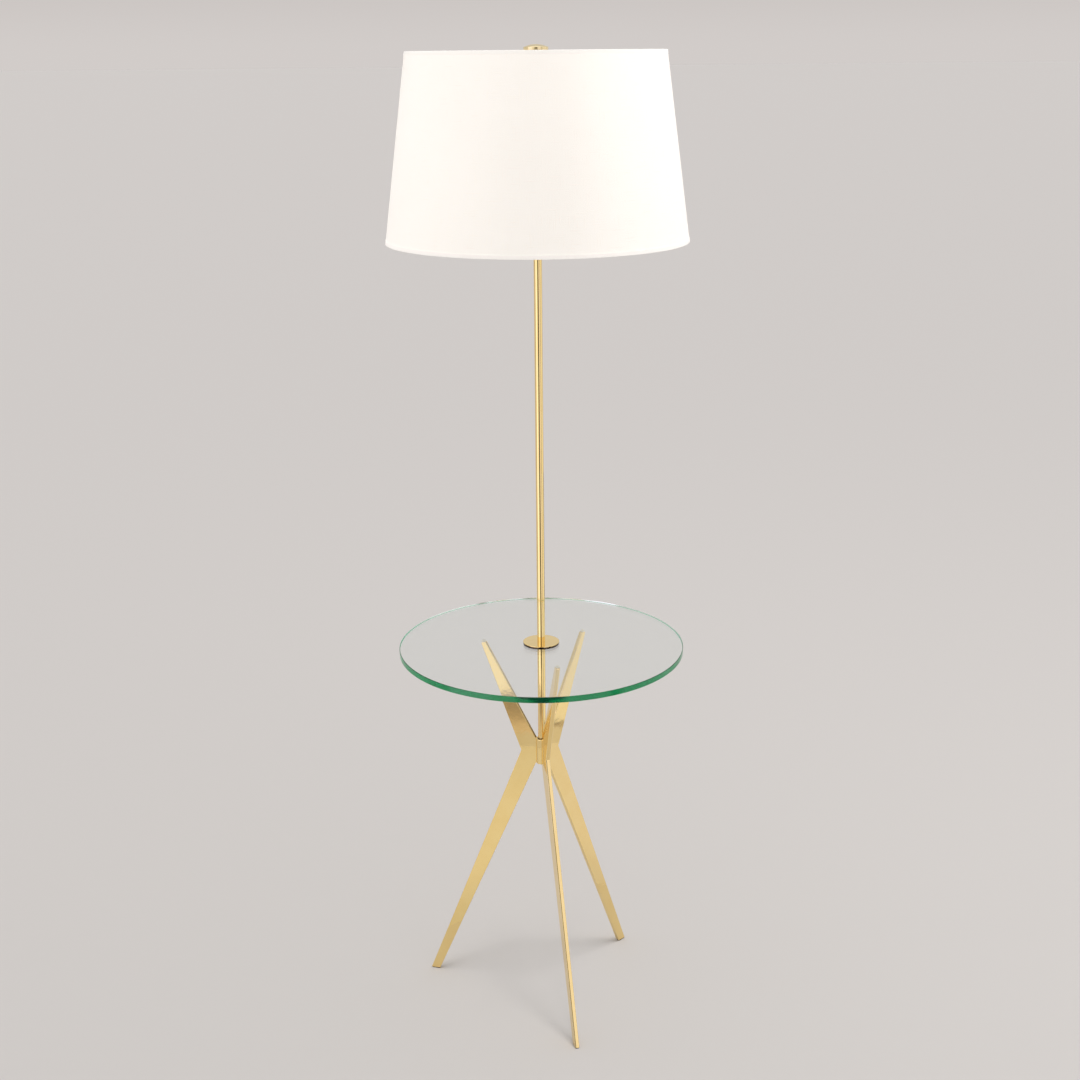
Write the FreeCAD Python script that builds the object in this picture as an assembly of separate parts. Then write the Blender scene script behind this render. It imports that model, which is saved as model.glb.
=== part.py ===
import FreeCAD, Part
import math
import os

# Floor lamp with a round glass table. Three flat brass legs, each bent at an elbow,
# are brazed to a hub sleeve. Their short upper arms carry the glass, and the stem
# goes on up through it to the socket, the harp and the shade.
# Millimetres. The origin is on the floor under the stem, +Z is up, the first leg points to -Y.

Vector = FreeCAD.Vector
os.makedirs("parts", exist_ok=True)

# Clearances
slip = 0.05                    # radial, between a shaft or tube and its hole
body_gap = 0.3                 # between pieces that move apart

# Legs
leg_count = 3
leg_thickness = 7.0
leg_edge_round = 0.7
glide_thickness = 1.5
glide_inset = 0.6
foot_outer_radius = 203.6      # all leg radii are measured from the stem's axis
foot_width = 15.5
elbow_radius = 35.0
elbow_height = 434.0
elbow_round = 5.0
arm_tip_radius = 101.4
arm_tip_width = 8.6
arm_tip_round = 2.6
root_depth = 2.0               # how far a plate reaches in past the sleeve's face before it is coped

# Hub
hub_radius = 10.0
hub_bottom = 414.0
hub_height = 44.0
hub_rim_round = 1.0
outlet_recess = 3.0

# Stem
stem_radius = 6.35
stem_wall = 1.2
stem_joint_height = 697.5
stem_top_height = 1282.0
stem_joint_bevel = 0.35
coupler_length = 36.0
coupler_bore = 3.8
nipple_bore = 3.3
nipple_depth = 14.0            # length of the nipple inside the stem

# Cord bushing
bushing_flange_radius = 8.0
bushing_flange_thickness = 2.4
bushing_length = 11.0
cord_hole_radius = 3.6
bushing_mouth_round = 0.8

# Table
glass_radius = 228.6
glass_thickness = 9.5
glass_top_height = 624.0
glass_hole_radius = 8.0
glass_arris = 0.8
bumper_radius = 3.3
bumper_height = 2.5
bumper_flat_radius = 1.9
collar_radius = 29.2
collar_thickness = 3.0
collar_round = 0.6
gasket_radius = 28.8
gasket_thickness = 1.2

# Check ring and harp saddle
check_ring_radius = 11.0
check_ring_height = 3.0
check_ring_round = 1.2
saddle_thickness = 1.6
saddle_half_span = 28.0        # stem's axis to a post's outer face
saddle_bend = 6.0
saddle_plate_width = 16.0
saddle_post_width = 10.0
saddle_tongue_width = 4.8
saddle_shoulder = 20.0         # up from the saddle's underside
saddle_tongue = 11.0           # up from the shoulder
saddle_lip = 4.0

# Harp
harp_height = 238.5            # from the saddle's underside to the top of the wire
harp_wire_radius = 1.6
harp_half_width = 57.0
harp_lean_angle = 25.0         # degrees that the legs lean out
harp_lower_bend = 25.0
harp_upper_bend = 60.0
ferrule_bore = 3.6
ferrule_wall = 0.9
ferrule_length = 14.0
ferrule_offset = 0.2           # of its axis, towards the tongue, whose corners reach further than the wire
ferrule_travel = 13.0
harp_straight_rest = 3.0       # straight wire left over a raised ferrule
stud_base_radius = 5.0
stud_disc_radius = 8.5
stud_disc_thickness = 1.6
stud_post_radius = 3.175
stud_post_height = 12.0
stud_post_bevel = 0.6

# Socket
lock_nut_across_flats = 14.0
lock_nut_height = 3.0
lock_washer_radius = 7.2
lock_washer_thickness = 0.8
cap_neck_radius = 8.0
cap_neck_height = 7.0
cap_height = 24.0
socket_radius = 15.75
socket_thickness = 0.7
socket_length = 44.0
socket_overlap = 6.0           # length of the shell inside the cap
socket_bead_rise = 4.0         # from the cap's rim up to the rolled bead
socket_bead_width = 2.4
socket_bead_height = 0.7
socket_lip_length = 2.5
socket_lip_reach = 1.2
socket_body_rise = 2.0         # from the shell's lower end up to the moulded body
paper_thickness = 0.5
socket_body_radius = 13.6
socket_body_height = 23.0
screw_shell_bore = 13.45
screw_shell_thickness = 0.35
screw_shell_height = 18.0
terminal_flat = 10.8           # stem's axis to the flats that hold the terminal screws
terminal_flat_height = 15.0
terminal_radius = 3.0
terminal_height = 1.8
contact_width = 5.0
contact_reach = 5.0
contact_rise = 2.4
contact_foot = 1.5
contact_gap = 2.0              # from the contact's ends to the screw shell's floor
contact_thickness = 0.5
cap_screw_radius = 1.6
slot_width = 0.6
slot_depth = 0.6

# Switch
switch_shaft_radius = 2.0
switch_hole_radius = 3.4
switch_knob_radius = 6.2
switch_knob_length = 11.0
switch_knob_gap = 3.6          # from the socket shell to the knob
switch_knob_round = 1.9
switch_shaft_start = 1.0       # from the stem's axis to the shaft's inner end
switch_shaft_seat = 6.6        # length of the shaft inside the knob
switch_flute_count = 12
switch_flute_radius = 0.9
switch_skirt = 1.5             # plain collar behind the flutes

# Bulb
bulb_radius = 30.0
bulb_length = 105.0
bulb_glass_thickness = 1.0
bulb_neck_radius = 12.3
bulb_neck_height = 30.0        # up from the bulb's tip
bulb_base_radius = 13.05
bulb_base_bottom = 5.0
bulb_base_top = 25.0
bulb_thread_count = 3
bulb_thread_start = 1.0        # plain length below the thread
bulb_thread_end = 3.0          # plain length above it
bulb_base_thickness = 0.4
bulb_tip_radius = 4.5
bulb_tip_height = 1.2

# Shade
shade_height = 273.5
shade_bottom_radius = 227.4
shade_top_radius = 191.0
liner_thickness = 0.7
fabric_thickness = 0.5
ring_wire_radius = 1.5
hem_height = 5.0
hem_thickness = 0.5
spider_drop = 14.5             # from the shade's top edge down to the spider's washer
spider_washer_radius = 14.0
spider_washer_thickness = 1.5
spider_hole_radius = 3.7
spider_wire_radius = 1.5
spider_arm_start = 10.0
spider_arm_rise_radius = 160.0
spider_bend = 18.0
spider_arm_count = 3
weld_gap = 0.02                # between an arm's end and the ring that it is welded to

# Finial
finial_height = 22.0
finial_foot_radius = 7.0
finial_foot_height = 2.0
finial_neck_radius = 5.6
finial_waist_height = 6.5
finial_button_bottom = 12.9    # up from the finial's foot
finial_button_radius = 18.3
finial_button_side = 4.8
finial_edge_round = 0.9
finial_cove_out = 3.0          # from the neck's end to the middle of the cove under the button
finial_cove_up = 2.9
finial_thread_clearance = 0.08
finial_bore_depth = 11.5

# Worked out from the dimensions above
hub_top = hub_bottom + hub_height
stem_bore = stem_radius - stem_wall
glass_bottom = glass_top_height - glass_thickness
arm_tip_height = glass_bottom - bumper_height
collar_bottom = glass_top_height + gasket_thickness
saddle_bottom = stem_top_height + check_ring_height
saddle_top = saddle_bottom + saddle_thickness
washer_bottom = saddle_top + lock_nut_height
cap_bottom = washer_bottom + lock_washer_thickness
shell_bottom = cap_bottom + cap_height - socket_overlap
shell_top = shell_bottom + socket_length
socket_body_bottom = shell_bottom + socket_body_rise
socket_body_top = socket_body_bottom + socket_body_height
switch_height = socket_body_bottom + 0.5 * socket_body_height
contact_top = socket_body_top + screw_shell_thickness + contact_rise
bulb_tip = contact_top + body_gap
harp_top = saddle_bottom + harp_height - harp_wire_radius
stud_disc_bottom = harp_top + 2 * harp_wire_radius
stud_disc_top = stud_disc_bottom + stud_disc_thickness
spider_bottom = stud_disc_top + body_gap
spider_top = spider_bottom + spider_washer_thickness
shade_top = spider_bottom + spider_drop
shade_bottom_height = shade_top - shade_height
finial_bottom = spider_top + body_gap
shade_slope = math.atan2(shade_bottom_radius - shade_top_radius, shade_height)
ring_inset = fabric_thickness + liner_thickness + ring_wire_radius / math.cos(shade_slope)
top_ring_height = shade_top - hem_height - ring_wire_radius
bottom_ring_height = shade_bottom_height + hem_height + ring_wire_radius
shoulder_height = saddle_bottom + saddle_shoulder
lip_top = shoulder_height
harp_wire_x = saddle_half_span + harp_wire_radius + slip
ferrule_x = (saddle_half_span - saddle_thickness + harp_wire_x + harp_wire_radius) / 2 - ferrule_offset
leg_directions = [-90.0 + index * 360.0 / leg_count for index in range(leg_count)]
leg_names = ["front", "right", "left"]
spider_directions = [90.0 + index * 360.0 / spider_arm_count for index in range(spider_arm_count)]
spider_arm_names = ["back", "left", "right"]


def at(radius, height):
    """Point of a turned outline."""
    return Vector(radius, 0, height)


def line(start, end):
    return Part.LineSegment(start, end).toShape()


def arc(start, middle, end):
    return Part.Arc(start, middle, end).toShape()


def quarter(centre, radius):
    """Quarter round from straight below a centre out to its side."""
    half = radius * math.sqrt(0.5)
    below = at(centre.x, centre.z - radius)
    return arc(below, at(centre.x + half, centre.z - half), at(centre.x + radius, centre.z))


def dome(pole, rim):
    """Arc from a pole on the axis to a rim, with its centre on the axis."""
    rise = pole.z - rim.z
    radius = (rim.x ** 2 + rise ** 2) / (2 * abs(rise))
    centre = pole.z - math.copysign(radius, rise)
    half = math.asin(rim.x / radius) / 2
    middle = at(radius * math.sin(half), centre + math.copysign(radius * math.cos(half), rise))
    return arc(pole, middle, rim)


def polygon(points):
    return Part.makePolygon(list(points) + [points[0]])


def turned(wire):
    """Solid made by turning a closed outline round the stem's axis."""
    return Part.Face(wire).revolve(Vector(0, 0, 0), Vector(0, 0, 1), 360)


def cylinder(radius, bottom, top):
    return Part.makeCylinder(radius, top - bottom, Vector(0, 0, bottom))


def ring(outer, inner, bottom, top):
    return cylinder(outer, bottom, top).cut(cylinder(inner, bottom - 1, top + 1))


def rims(solid, radius, height):
    """Circular edges of a turned solid at one radius and height."""
    found = []
    for edge in solid.Edges:
        if edge.Degenerated or not isinstance(edge.Curve, Part.Circle):
            continue
        if abs(edge.Curve.Radius - radius) < 1e-4 and abs(edge.Curve.Center.z - height) < 1e-4:
            found.append(edge)
    return found


def rod(path_edges, start, direction, radius):
    """Round wire along a path of lines and tangent arcs."""
    section = Part.Wire(Part.makeCircle(radius, start, direction))
    return Part.Wire(path_edges).makePipeShell([section], True, True)


def turned_to(shape, degrees):
    """Copy of a shape turned about the stem's axis."""
    copy = shape.copy()
    copy.rotate(Vector(0, 0, 0), Vector(0, 0, 1), degrees)
    return copy


def save(name, shape):
    shape.exportStep("parts/" + name + ".step")


def cross_edges(plate, radius, height):
    """Edges through a plate's thickness at one corner of its outline."""
    found = []
    for edge in plate.Edges:
        centre = edge.CenterOfMass
        if abs(centre.x - radius) < 0.01 and abs(centre.z - height) < 0.01:
            found.append(edge)
    return found


def leg_plate():
    """Boomerang plate along +X: arm to the glass, elbow, leg to the floor."""
    root = hub_radius - root_depth
    outline = [
        Vector(root, 0, hub_bottom),
        Vector(hub_radius, 0, hub_bottom),
        Vector(foot_outer_radius - foot_width, 0, glide_thickness),
        Vector(foot_outer_radius, 0, glide_thickness),
        Vector(elbow_radius, 0, elbow_height),
        Vector(arm_tip_radius, 0, arm_tip_height),
        Vector(arm_tip_radius - arm_tip_width, 0, arm_tip_height),
        Vector(hub_radius, 0, hub_top),
        Vector(root, 0, hub_top),
    ]
    plate = Part.Face(polygon(outline)).extrude(Vector(0, leg_thickness, 0))
    plate.translate(Vector(0, -leg_thickness / 2, 0))
    plate = plate.makeFillet(elbow_round, cross_edges(plate, elbow_radius, elbow_height))
    tip = cross_edges(plate, arm_tip_radius, arm_tip_height)
    tip += cross_edges(plate, arm_tip_radius - arm_tip_width, arm_tip_height)
    plate = plate.makeFillet(arm_tip_round, tip)
    long_edges = []
    for edge in plate.Edges:
        on_face = abs(abs(edge.CenterOfMass.y) - leg_thickness / 2) < 1e-4
        on_foot = edge.BoundBox.ZMax < glide_thickness + leg_edge_round
        if on_face and not on_foot and edge.BoundBox.XMax > hub_radius + leg_edge_round:
            long_edges.append(edge)
    plate = plate.makeFillet(leg_edge_round, long_edges)
    return plate.cut(cylinder(hub_radius, hub_bottom - hub_height, hub_top + hub_height))


def foot_glide():
    """Thin pad under a foot, a little smaller than the foot's end."""
    length = foot_width - 2 * glide_inset
    width = leg_thickness - 2 * glide_inset
    corner = Vector(foot_outer_radius - foot_width + glide_inset, -width / 2, 0)
    pad = Part.makeBox(length, width, glide_thickness, corner)
    upright = [edge for edge in pad.Edges if edge.BoundBox.ZLength > glide_thickness * 0.9]
    return pad.makeFillet(width * 0.3, upright)


def glass_bumper():
    """Domed clear pad on an arm's tip, with its crown pressed flat by the glass."""
    tip_centre = Vector(arm_tip_radius - arm_tip_width / 2, 0, arm_tip_height)
    pad = Part.makeCylinder(bumper_radius, bumper_height, tip_centre)
    crown = [edge for edge in pad.Edges if abs(edge.CenterOfMass.z - glass_bottom) < 1e-4]
    return pad.makeFillet(bumper_radius - bumper_flat_radius, crown)


def hub_sleeve():
    """Sleeve round the stem's foot, bored out below for the cord bushing's flange."""
    sleeve = cylinder(hub_radius, hub_bottom, hub_top)
    edges = rims(sleeve, hub_radius, hub_bottom) + rims(sleeve, hub_radius, hub_top)
    sleeve = sleeve.makeFillet(hub_rim_round, edges)
    sleeve = sleeve.cut(cylinder(stem_radius, hub_bottom - 1, hub_top + 1))
    recess = cylinder(bushing_flange_radius + slip, hub_bottom - 1, hub_bottom + outlet_recess)
    return sleeve.cut(recess)


def stem_tube(bottom, top):
    """Brass tube with a fine bevel round each end."""
    tube = cylinder(stem_radius, bottom, top)
    edges = rims(tube, stem_radius, bottom) + rims(tube, stem_radius, top)
    tube = tube.makeChamfer(stem_joint_bevel, edges)
    return tube.cut(cylinder(stem_bore, bottom - 1, top + 1))


def cord_bushing():
    """Flanged bushing with a rounded mouth, up inside the stem's foot."""
    flange_top = hub_bottom + outlet_recess
    flange_bottom = flange_top - bushing_flange_thickness
    flange = cylinder(bushing_flange_radius, flange_bottom, flange_top)
    body = flange.fuse(cylinder(stem_bore, flange_top, flange_bottom + bushing_length))
    body = body.cut(cylinder(cord_hole_radius, flange_bottom - 1, flange_bottom + bushing_length + 1))
    mouth = rims(body, cord_hole_radius, flange_bottom)
    return body.makeFillet(bushing_mouth_round, mouth)


def glass_top():
    """Round plate of glass with ground edges and a centre hole."""
    plate = cylinder(glass_radius, glass_bottom, glass_top_height)
    edges = rims(plate, glass_radius, glass_bottom) + rims(plate, glass_radius, glass_top_height)
    plate = plate.makeChamfer(glass_arris, edges)
    return plate.cut(cylinder(glass_hole_radius, glass_bottom - 1, glass_top_height + 1))


def glass_bushing():
    """Rubber washer on the glass, with a sleeve that lines the hole."""
    washer = cylinder(gasket_radius, glass_top_height, collar_bottom)
    sleeve = cylinder(glass_hole_radius, glass_bottom, glass_top_height)
    return washer.fuse(sleeve).cut(cylinder(stem_radius + slip, glass_bottom - 1, collar_bottom + 1))


def table_collar():
    """Brass disc that holds the glass down round the stem."""
    top = collar_bottom + collar_thickness
    disc = cylinder(collar_radius, collar_bottom, top)
    disc = disc.makeFillet(collar_round, rims(disc, collar_radius, top))
    return disc.cut(cylinder(stem_radius + slip, collar_bottom - 1, top + 1))


def check_ring():
    """Turned cap over the stem's top end."""
    top = stem_top_height + check_ring_height
    cap = cylinder(check_ring_radius, stem_top_height, top)
    cap = cap.makeFillet(check_ring_round, rims(cap, check_ring_radius, stem_top_height))
    return cap.cut(cylinder(stem_bore + slip, stem_top_height - 1, top + 1))


def harp_saddle():
    """U-shaped strip whose posts narrow to tongues, each with a lip that carries the harp's wire."""
    reach = saddle_half_span
    inner = reach - saddle_thickness
    flat = reach - saddle_bend
    floor = saddle_bottom
    tongue_top = shoulder_height + saddle_tongue
    inner_bend = saddle_bend - saddle_thickness
    diagonal = math.sqrt(0.5)
    bend_height = floor + saddle_bend
    outer_middle = flat + saddle_bend * diagonal
    outer_low = bend_height - saddle_bend * diagonal
    inner_middle = flat + inner_bend * diagonal
    inner_low = bend_height - inner_bend * diagonal
    strip = Part.Wire([
        line(at(-flat, floor), at(flat, floor)),
        arc(at(flat, floor), at(outer_middle, outer_low), at(reach, bend_height)),
        line(at(reach, bend_height), at(reach, tongue_top)),
        line(at(reach, tongue_top), at(inner, tongue_top)),
        line(at(inner, tongue_top), at(inner, bend_height)),
        arc(at(inner, bend_height), at(inner_middle, inner_low), at(flat, saddle_top)),
        line(at(flat, saddle_top), at(-flat, saddle_top)),
        arc(at(-flat, saddle_top), at(-inner_middle, inner_low), at(-inner, bend_height)),
        line(at(-inner, bend_height), at(-inner, tongue_top)),
        line(at(-inner, tongue_top), at(-reach, tongue_top)),
        line(at(-reach, tongue_top), at(-reach, bend_height)),
        arc(at(-reach, bend_height), at(-outer_middle, outer_low), at(-flat, floor)),
    ])
    band = Part.Face(strip).extrude(Vector(0, saddle_plate_width, 0))
    band.translate(Vector(0, -saddle_plate_width / 2, 0))
    half_plate = saddle_plate_width / 2
    half_post = saddle_post_width / 2
    half_tongue = saddle_tongue_width / 2
    side = [
        Vector(-reach, -half_plate, floor),
        Vector(-reach, half_plate, floor),
        Vector(-reach, half_plate, saddle_top),
        Vector(-reach, half_post, saddle_top + saddle_bend),
        Vector(-reach, half_post, shoulder_height),
        Vector(-reach, half_tongue, shoulder_height),
        Vector(-reach, half_tongue, tongue_top),
        Vector(-reach, -half_tongue, tongue_top),
        Vector(-reach, -half_tongue, shoulder_height),
        Vector(-reach, -half_post, shoulder_height),
        Vector(-reach, -half_post, saddle_top + saddle_bend),
        Vector(-reach, -half_plate, saddle_top),
    ]
    saddle = band.common(Part.Face(polygon(side)).extrude(Vector(2 * reach, 0, 0)))
    for sense in (-1, 1):
        start = reach - saddle_thickness if sense > 0 else -reach - saddle_lip
        corner = Vector(start, -half_tongue, lip_top - saddle_thickness)
        lip = Part.makeBox(saddle_lip + saddle_thickness, saddle_tongue_width, saddle_thickness, corner)
        saddle = saddle.fuse(lip)
    return saddle.removeSplitter().cut(cylinder(stem_bore + slip, floor - 1, saddle_top + 1))


def lock_nut():
    """Hexagon nut that clamps the saddle on the nipple."""
    corner = lock_nut_across_flats / math.sqrt(3)
    points = []
    for side in range(6):
        angle = math.radians(60 * side)
        points.append(Vector(corner * math.cos(angle), corner * math.sin(angle), saddle_top))
    nut = Part.Face(polygon(points)).extrude(Vector(0, 0, lock_nut_height))
    return nut.cut(cylinder(stem_bore + slip, saddle_top - 1, washer_bottom + 1))


def socket_cap():
    """Thin bell that screws on the nipple and takes the shell's lower end."""
    bore = stem_bore + slip
    neck = cap_neck_radius
    rim = socket_radius + socket_thickness
    top = cap_bottom + cap_height
    neck_top = cap_bottom + cap_neck_height
    outer_bend = rim - neck
    inner_bend = outer_bend - socket_thickness
    bell = neck_top + outer_bend
    edges = [
        line(at(bore, cap_bottom), at(neck, cap_bottom)),
        line(at(neck, cap_bottom), at(neck, neck_top)),
        quarter(at(neck, bell), outer_bend),
        line(at(rim, bell), at(rim, top)),
        line(at(rim, top), at(socket_radius, top)),
        line(at(socket_radius, top), at(socket_radius, bell)),
        quarter(at(neck, bell), inner_bend),
        line(at(neck, bell - inner_bend), at(bore, bell - inner_bend)),
        line(at(bore, bell - inner_bend), at(bore, cap_bottom)),
    ]
    cap = turned(Part.Wire(Part.__sortEdges__(edges)))
    middle = Vector(0, 0, cap_bottom + cap_neck_height / 2)
    return cap.cut(Part.makeCylinder(cap_screw_radius, 2 * cap_neck_radius, middle, Vector(0, 1, 0)))


def cap_screw():
    """Slotted grub screw that locks the cap on its nipple."""
    middle = cap_bottom + cap_neck_height / 2
    screw = Part.makeCylinder(cap_screw_radius, cap_neck_radius, Vector(0, 0, middle), Vector(0, 1, 0))
    screw = screw.cut(cylinder(stem_bore, cap_bottom, cap_bottom + cap_neck_height))
    corner = Vector(-cap_screw_radius, cap_neck_radius - slot_depth, middle - slot_width / 2)
    return screw.cut(Part.makeBox(2 * cap_screw_radius, slot_depth, slot_width, corner))


def socket_shell():
    """Thin shell with a rolled bead and a lip at its mouth, and a hole for the switch shaft."""
    outer = socket_radius
    bore = outer - socket_thickness
    bead = shell_bottom + socket_overlap + socket_bead_rise
    bead_low = bead - socket_bead_width / 2
    bead_high = bead + socket_bead_width / 2
    mouth = shell_top - socket_lip_length
    edges = [
        line(at(bore, shell_bottom), at(outer, shell_bottom)),
        line(at(outer, shell_bottom), at(outer, bead_low)),
        arc(at(outer, bead_low), at(outer + socket_bead_height, bead), at(outer, bead_high)),
        line(at(outer, bead_high), at(outer, mouth)),
        line(at(outer, mouth), at(outer + socket_lip_reach, shell_top)),
        line(at(outer + socket_lip_reach, shell_top), at(bore + socket_lip_reach, shell_top)),
        line(at(bore + socket_lip_reach, shell_top), at(bore, mouth)),
        line(at(bore, mouth), at(bore, shell_bottom)),
    ]
    return turned(Part.Wire(edges)).cut(switch_hole(switch_hole_radius))


def switch_hole(radius):
    """Cutter for the switch shaft's way out, towards -Y."""
    return Part.makeCylinder(radius, socket_radius * 2, Vector(0, 0, switch_height), Vector(0, -1, 0))


def paper_liner():
    """Insulating paper tube inside the shell."""
    outer = socket_radius - socket_thickness
    tube = ring(outer, outer - paper_thickness, socket_body_bottom, shell_top - socket_lip_length)
    return tube.cut(switch_hole(switch_hole_radius))


def socket_body():
    """Moulded body that holds the switch, with a flat on each side for a terminal screw."""
    body = cylinder(socket_body_radius, socket_body_bottom, socket_body_top)
    reach = socket_body_radius
    low = switch_height - terminal_flat_height / 2
    for start in (terminal_flat, -terminal_flat - reach):
        body = body.cut(Part.makeBox(reach, 2 * reach, terminal_flat_height, Vector(start, -reach, low)))
    return body.cut(switch_hole(switch_shaft_radius + slip))


def terminal_screws():
    """Two slotted wire screws, one on each flat of the socket's body."""
    screws = []
    for sense in (-1, 1):
        face = Vector(sense * terminal_flat, 0, switch_height)
        screw = Part.makeCylinder(terminal_radius, terminal_height, face, Vector(sense, 0, 0))
        outer = terminal_flat + terminal_height
        start = outer - slot_depth if sense > 0 else -outer
        corner = Vector(start, -terminal_radius, switch_height - slot_width / 2)
        screws.append(screw.cut(Part.makeBox(slot_depth, 2 * terminal_radius, slot_width, corner)))
    return Part.makeCompound(screws)


def screw_shell():
    """Shell that the bulb screws into, closed below but for the contact's hole."""
    outer = screw_shell_bore + screw_shell_thickness
    floor_top = socket_body_top + screw_shell_thickness
    cup = cylinder(outer, socket_body_top, socket_body_top + screw_shell_height)
    cup = cup.cut(cylinder(screw_shell_bore, floor_top, socket_body_top + screw_shell_height + 1))
    return cup.cut(cylinder(contact_reach + contact_gap, socket_body_top - 1, floor_top + 1))


def centre_contact():
    """Sprung strip, arched up from the socket's body to the bulb's tip."""
    base = socket_body_top
    crown = contact_top
    under = crown - contact_thickness
    reach = contact_reach
    edges = [
        line(at(-reach, base), at(-reach + contact_foot, base)),
        arc(at(-reach + contact_foot, base), at(0, under), at(reach - contact_foot, base)),
        line(at(reach - contact_foot, base), at(reach, base)),
        line(at(reach, base), at(reach, base + contact_thickness)),
        arc(at(reach, base + contact_thickness), at(0, crown), at(-reach, base + contact_thickness)),
        line(at(-reach, base + contact_thickness), at(-reach, base)),
    ]
    strip = Part.Face(Part.Wire(edges)).extrude(Vector(0, contact_width, 0))
    strip.translate(Vector(0, -contact_width / 2, 0))
    return strip


def switch_shaft():
    """Shaft from the switch out through the shell to the knob."""
    length = socket_radius + switch_knob_gap + switch_shaft_seat - switch_shaft_start
    start = Vector(0, -switch_shaft_start, switch_height)
    return Part.makeCylinder(switch_shaft_radius, length, start, Vector(0, -1, 0))


def switch_knob():
    """Fluted knob with a domed end and a blind hole for the shaft."""
    inner_end = socket_radius + switch_knob_gap
    base = Vector(0, -inner_end, switch_height)
    out = Vector(0, -1, 0)
    knob = Part.makeCylinder(switch_knob_radius, switch_knob_length, base, out)
    front = [edge for edge in knob.Edges
             if abs(edge.CenterOfMass.y + inner_end + switch_knob_length) < 1e-4]
    knob = knob.makeFillet(switch_knob_round, front)
    for index in range(switch_flute_count):
        angle = 2 * math.pi * index / switch_flute_count
        reach = switch_knob_radius + switch_flute_radius / 2
        across = reach * math.cos(angle)
        centre = Vector(across, -inner_end - switch_skirt, switch_height + reach * math.sin(angle))
        knob = knob.cut(Part.makeCylinder(switch_flute_radius, switch_knob_length, centre, out))
    return knob.cut(Part.makeCylinder(switch_shaft_radius, switch_shaft_seat, base, out))


def bulb_globe():
    """Round bulb of thin glass that draws in to its neck."""
    centre_height = bulb_length - bulb_radius
    rise = centre_height - bulb_neck_height
    gap = bulb_radius ** 2 - bulb_neck_radius ** 2 - rise ** 2
    flare = gap / (2 * (bulb_neck_radius - bulb_radius))
    flare_centre = bulb_neck_radius + flare
    reach = bulb_radius + flare

    def surface(inset):
        """Neck arc and globe arc, each offset inwards by the inset."""
        globe = bulb_radius - inset
        curve = flare + inset
        meet = at(globe * flare_centre / reach, centre_height - globe * rise / reach)
        neck = at(bulb_neck_radius - inset, bulb_neck_height)
        turn = 0.5 * math.atan2(rise, flare_centre)
        neck_middle = at(flare_centre - curve * math.cos(turn), bulb_neck_height + curve * math.sin(turn))
        side = at(globe, centre_height)
        return neck, neck_middle, meet, side, at(0, centre_height + globe)

    base = bulb_base_bottom + bulb_tip_height
    neck, neck_middle, meet, side, top = surface(0)
    neck_in, neck_middle_in, meet_in, side_in, top_in = surface(bulb_glass_thickness)
    edges = [
        line(at(neck_in.x, base), at(neck.x, base)),
        line(at(neck.x, base), neck),
        arc(neck, neck_middle, meet),
        arc(meet, side, top),
        line(top, top_in),
        arc(top_in, side_in, meet_in),
        arc(meet_in, neck_middle_in, neck_in),
        line(neck_in, at(neck_in.x, base)),
    ]
    globe = turned(Part.Wire(edges))
    globe.translate(Vector(0, 0, bulb_tip))
    return globe


def bulb_base():
    """Cap of the bulb, with three rolled thread rounds."""
    bottom = bulb_tip + bulb_base_bottom
    top = bulb_tip + bulb_base_top
    pitch = (top - bottom - bulb_thread_start - bulb_thread_end) / bulb_thread_count
    root = bulb_neck_radius + bulb_base_thickness
    edges = [line(at(bulb_neck_radius, bottom), at(root, bottom))]
    height = bottom + bulb_thread_start
    edges.append(line(at(root, bottom), at(root, height)))
    for index in range(bulb_thread_count):
        crest = at(bulb_base_radius, height + pitch / 2)
        edges.append(arc(at(root, height), crest, at(root, height + pitch)))
        height = height + pitch
    edges.append(line(at(root, height), at(root, top)))
    edges.append(line(at(root, top), at(bulb_neck_radius, top)))
    edges.append(line(at(bulb_neck_radius, top), at(bulb_neck_radius, bottom)))
    return turned(Part.Wire(edges))


def bulb_insulator():
    """Dark cone between the bulb's cap and its tip."""
    low = bulb_tip + bulb_tip_height
    high = bulb_tip + bulb_base_bottom
    points = [at(0, low), at(bulb_tip_radius, low), at(bulb_neck_radius, high),
              at(bulb_neck_radius, high + bulb_tip_height), at(0, high + bulb_tip_height)]
    return turned(polygon(points))


def bulb_contact():
    """Soldered tip of the bulb."""
    rim = at(bulb_tip_radius, bulb_tip + bulb_tip_height)
    edges = [
        line(at(0, rim.z), at(0, bulb_tip)),
        dome(at(0, bulb_tip), rim),
        line(rim, at(0, rim.z)),
    ]
    return turned(Part.Wire(edges))


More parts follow.
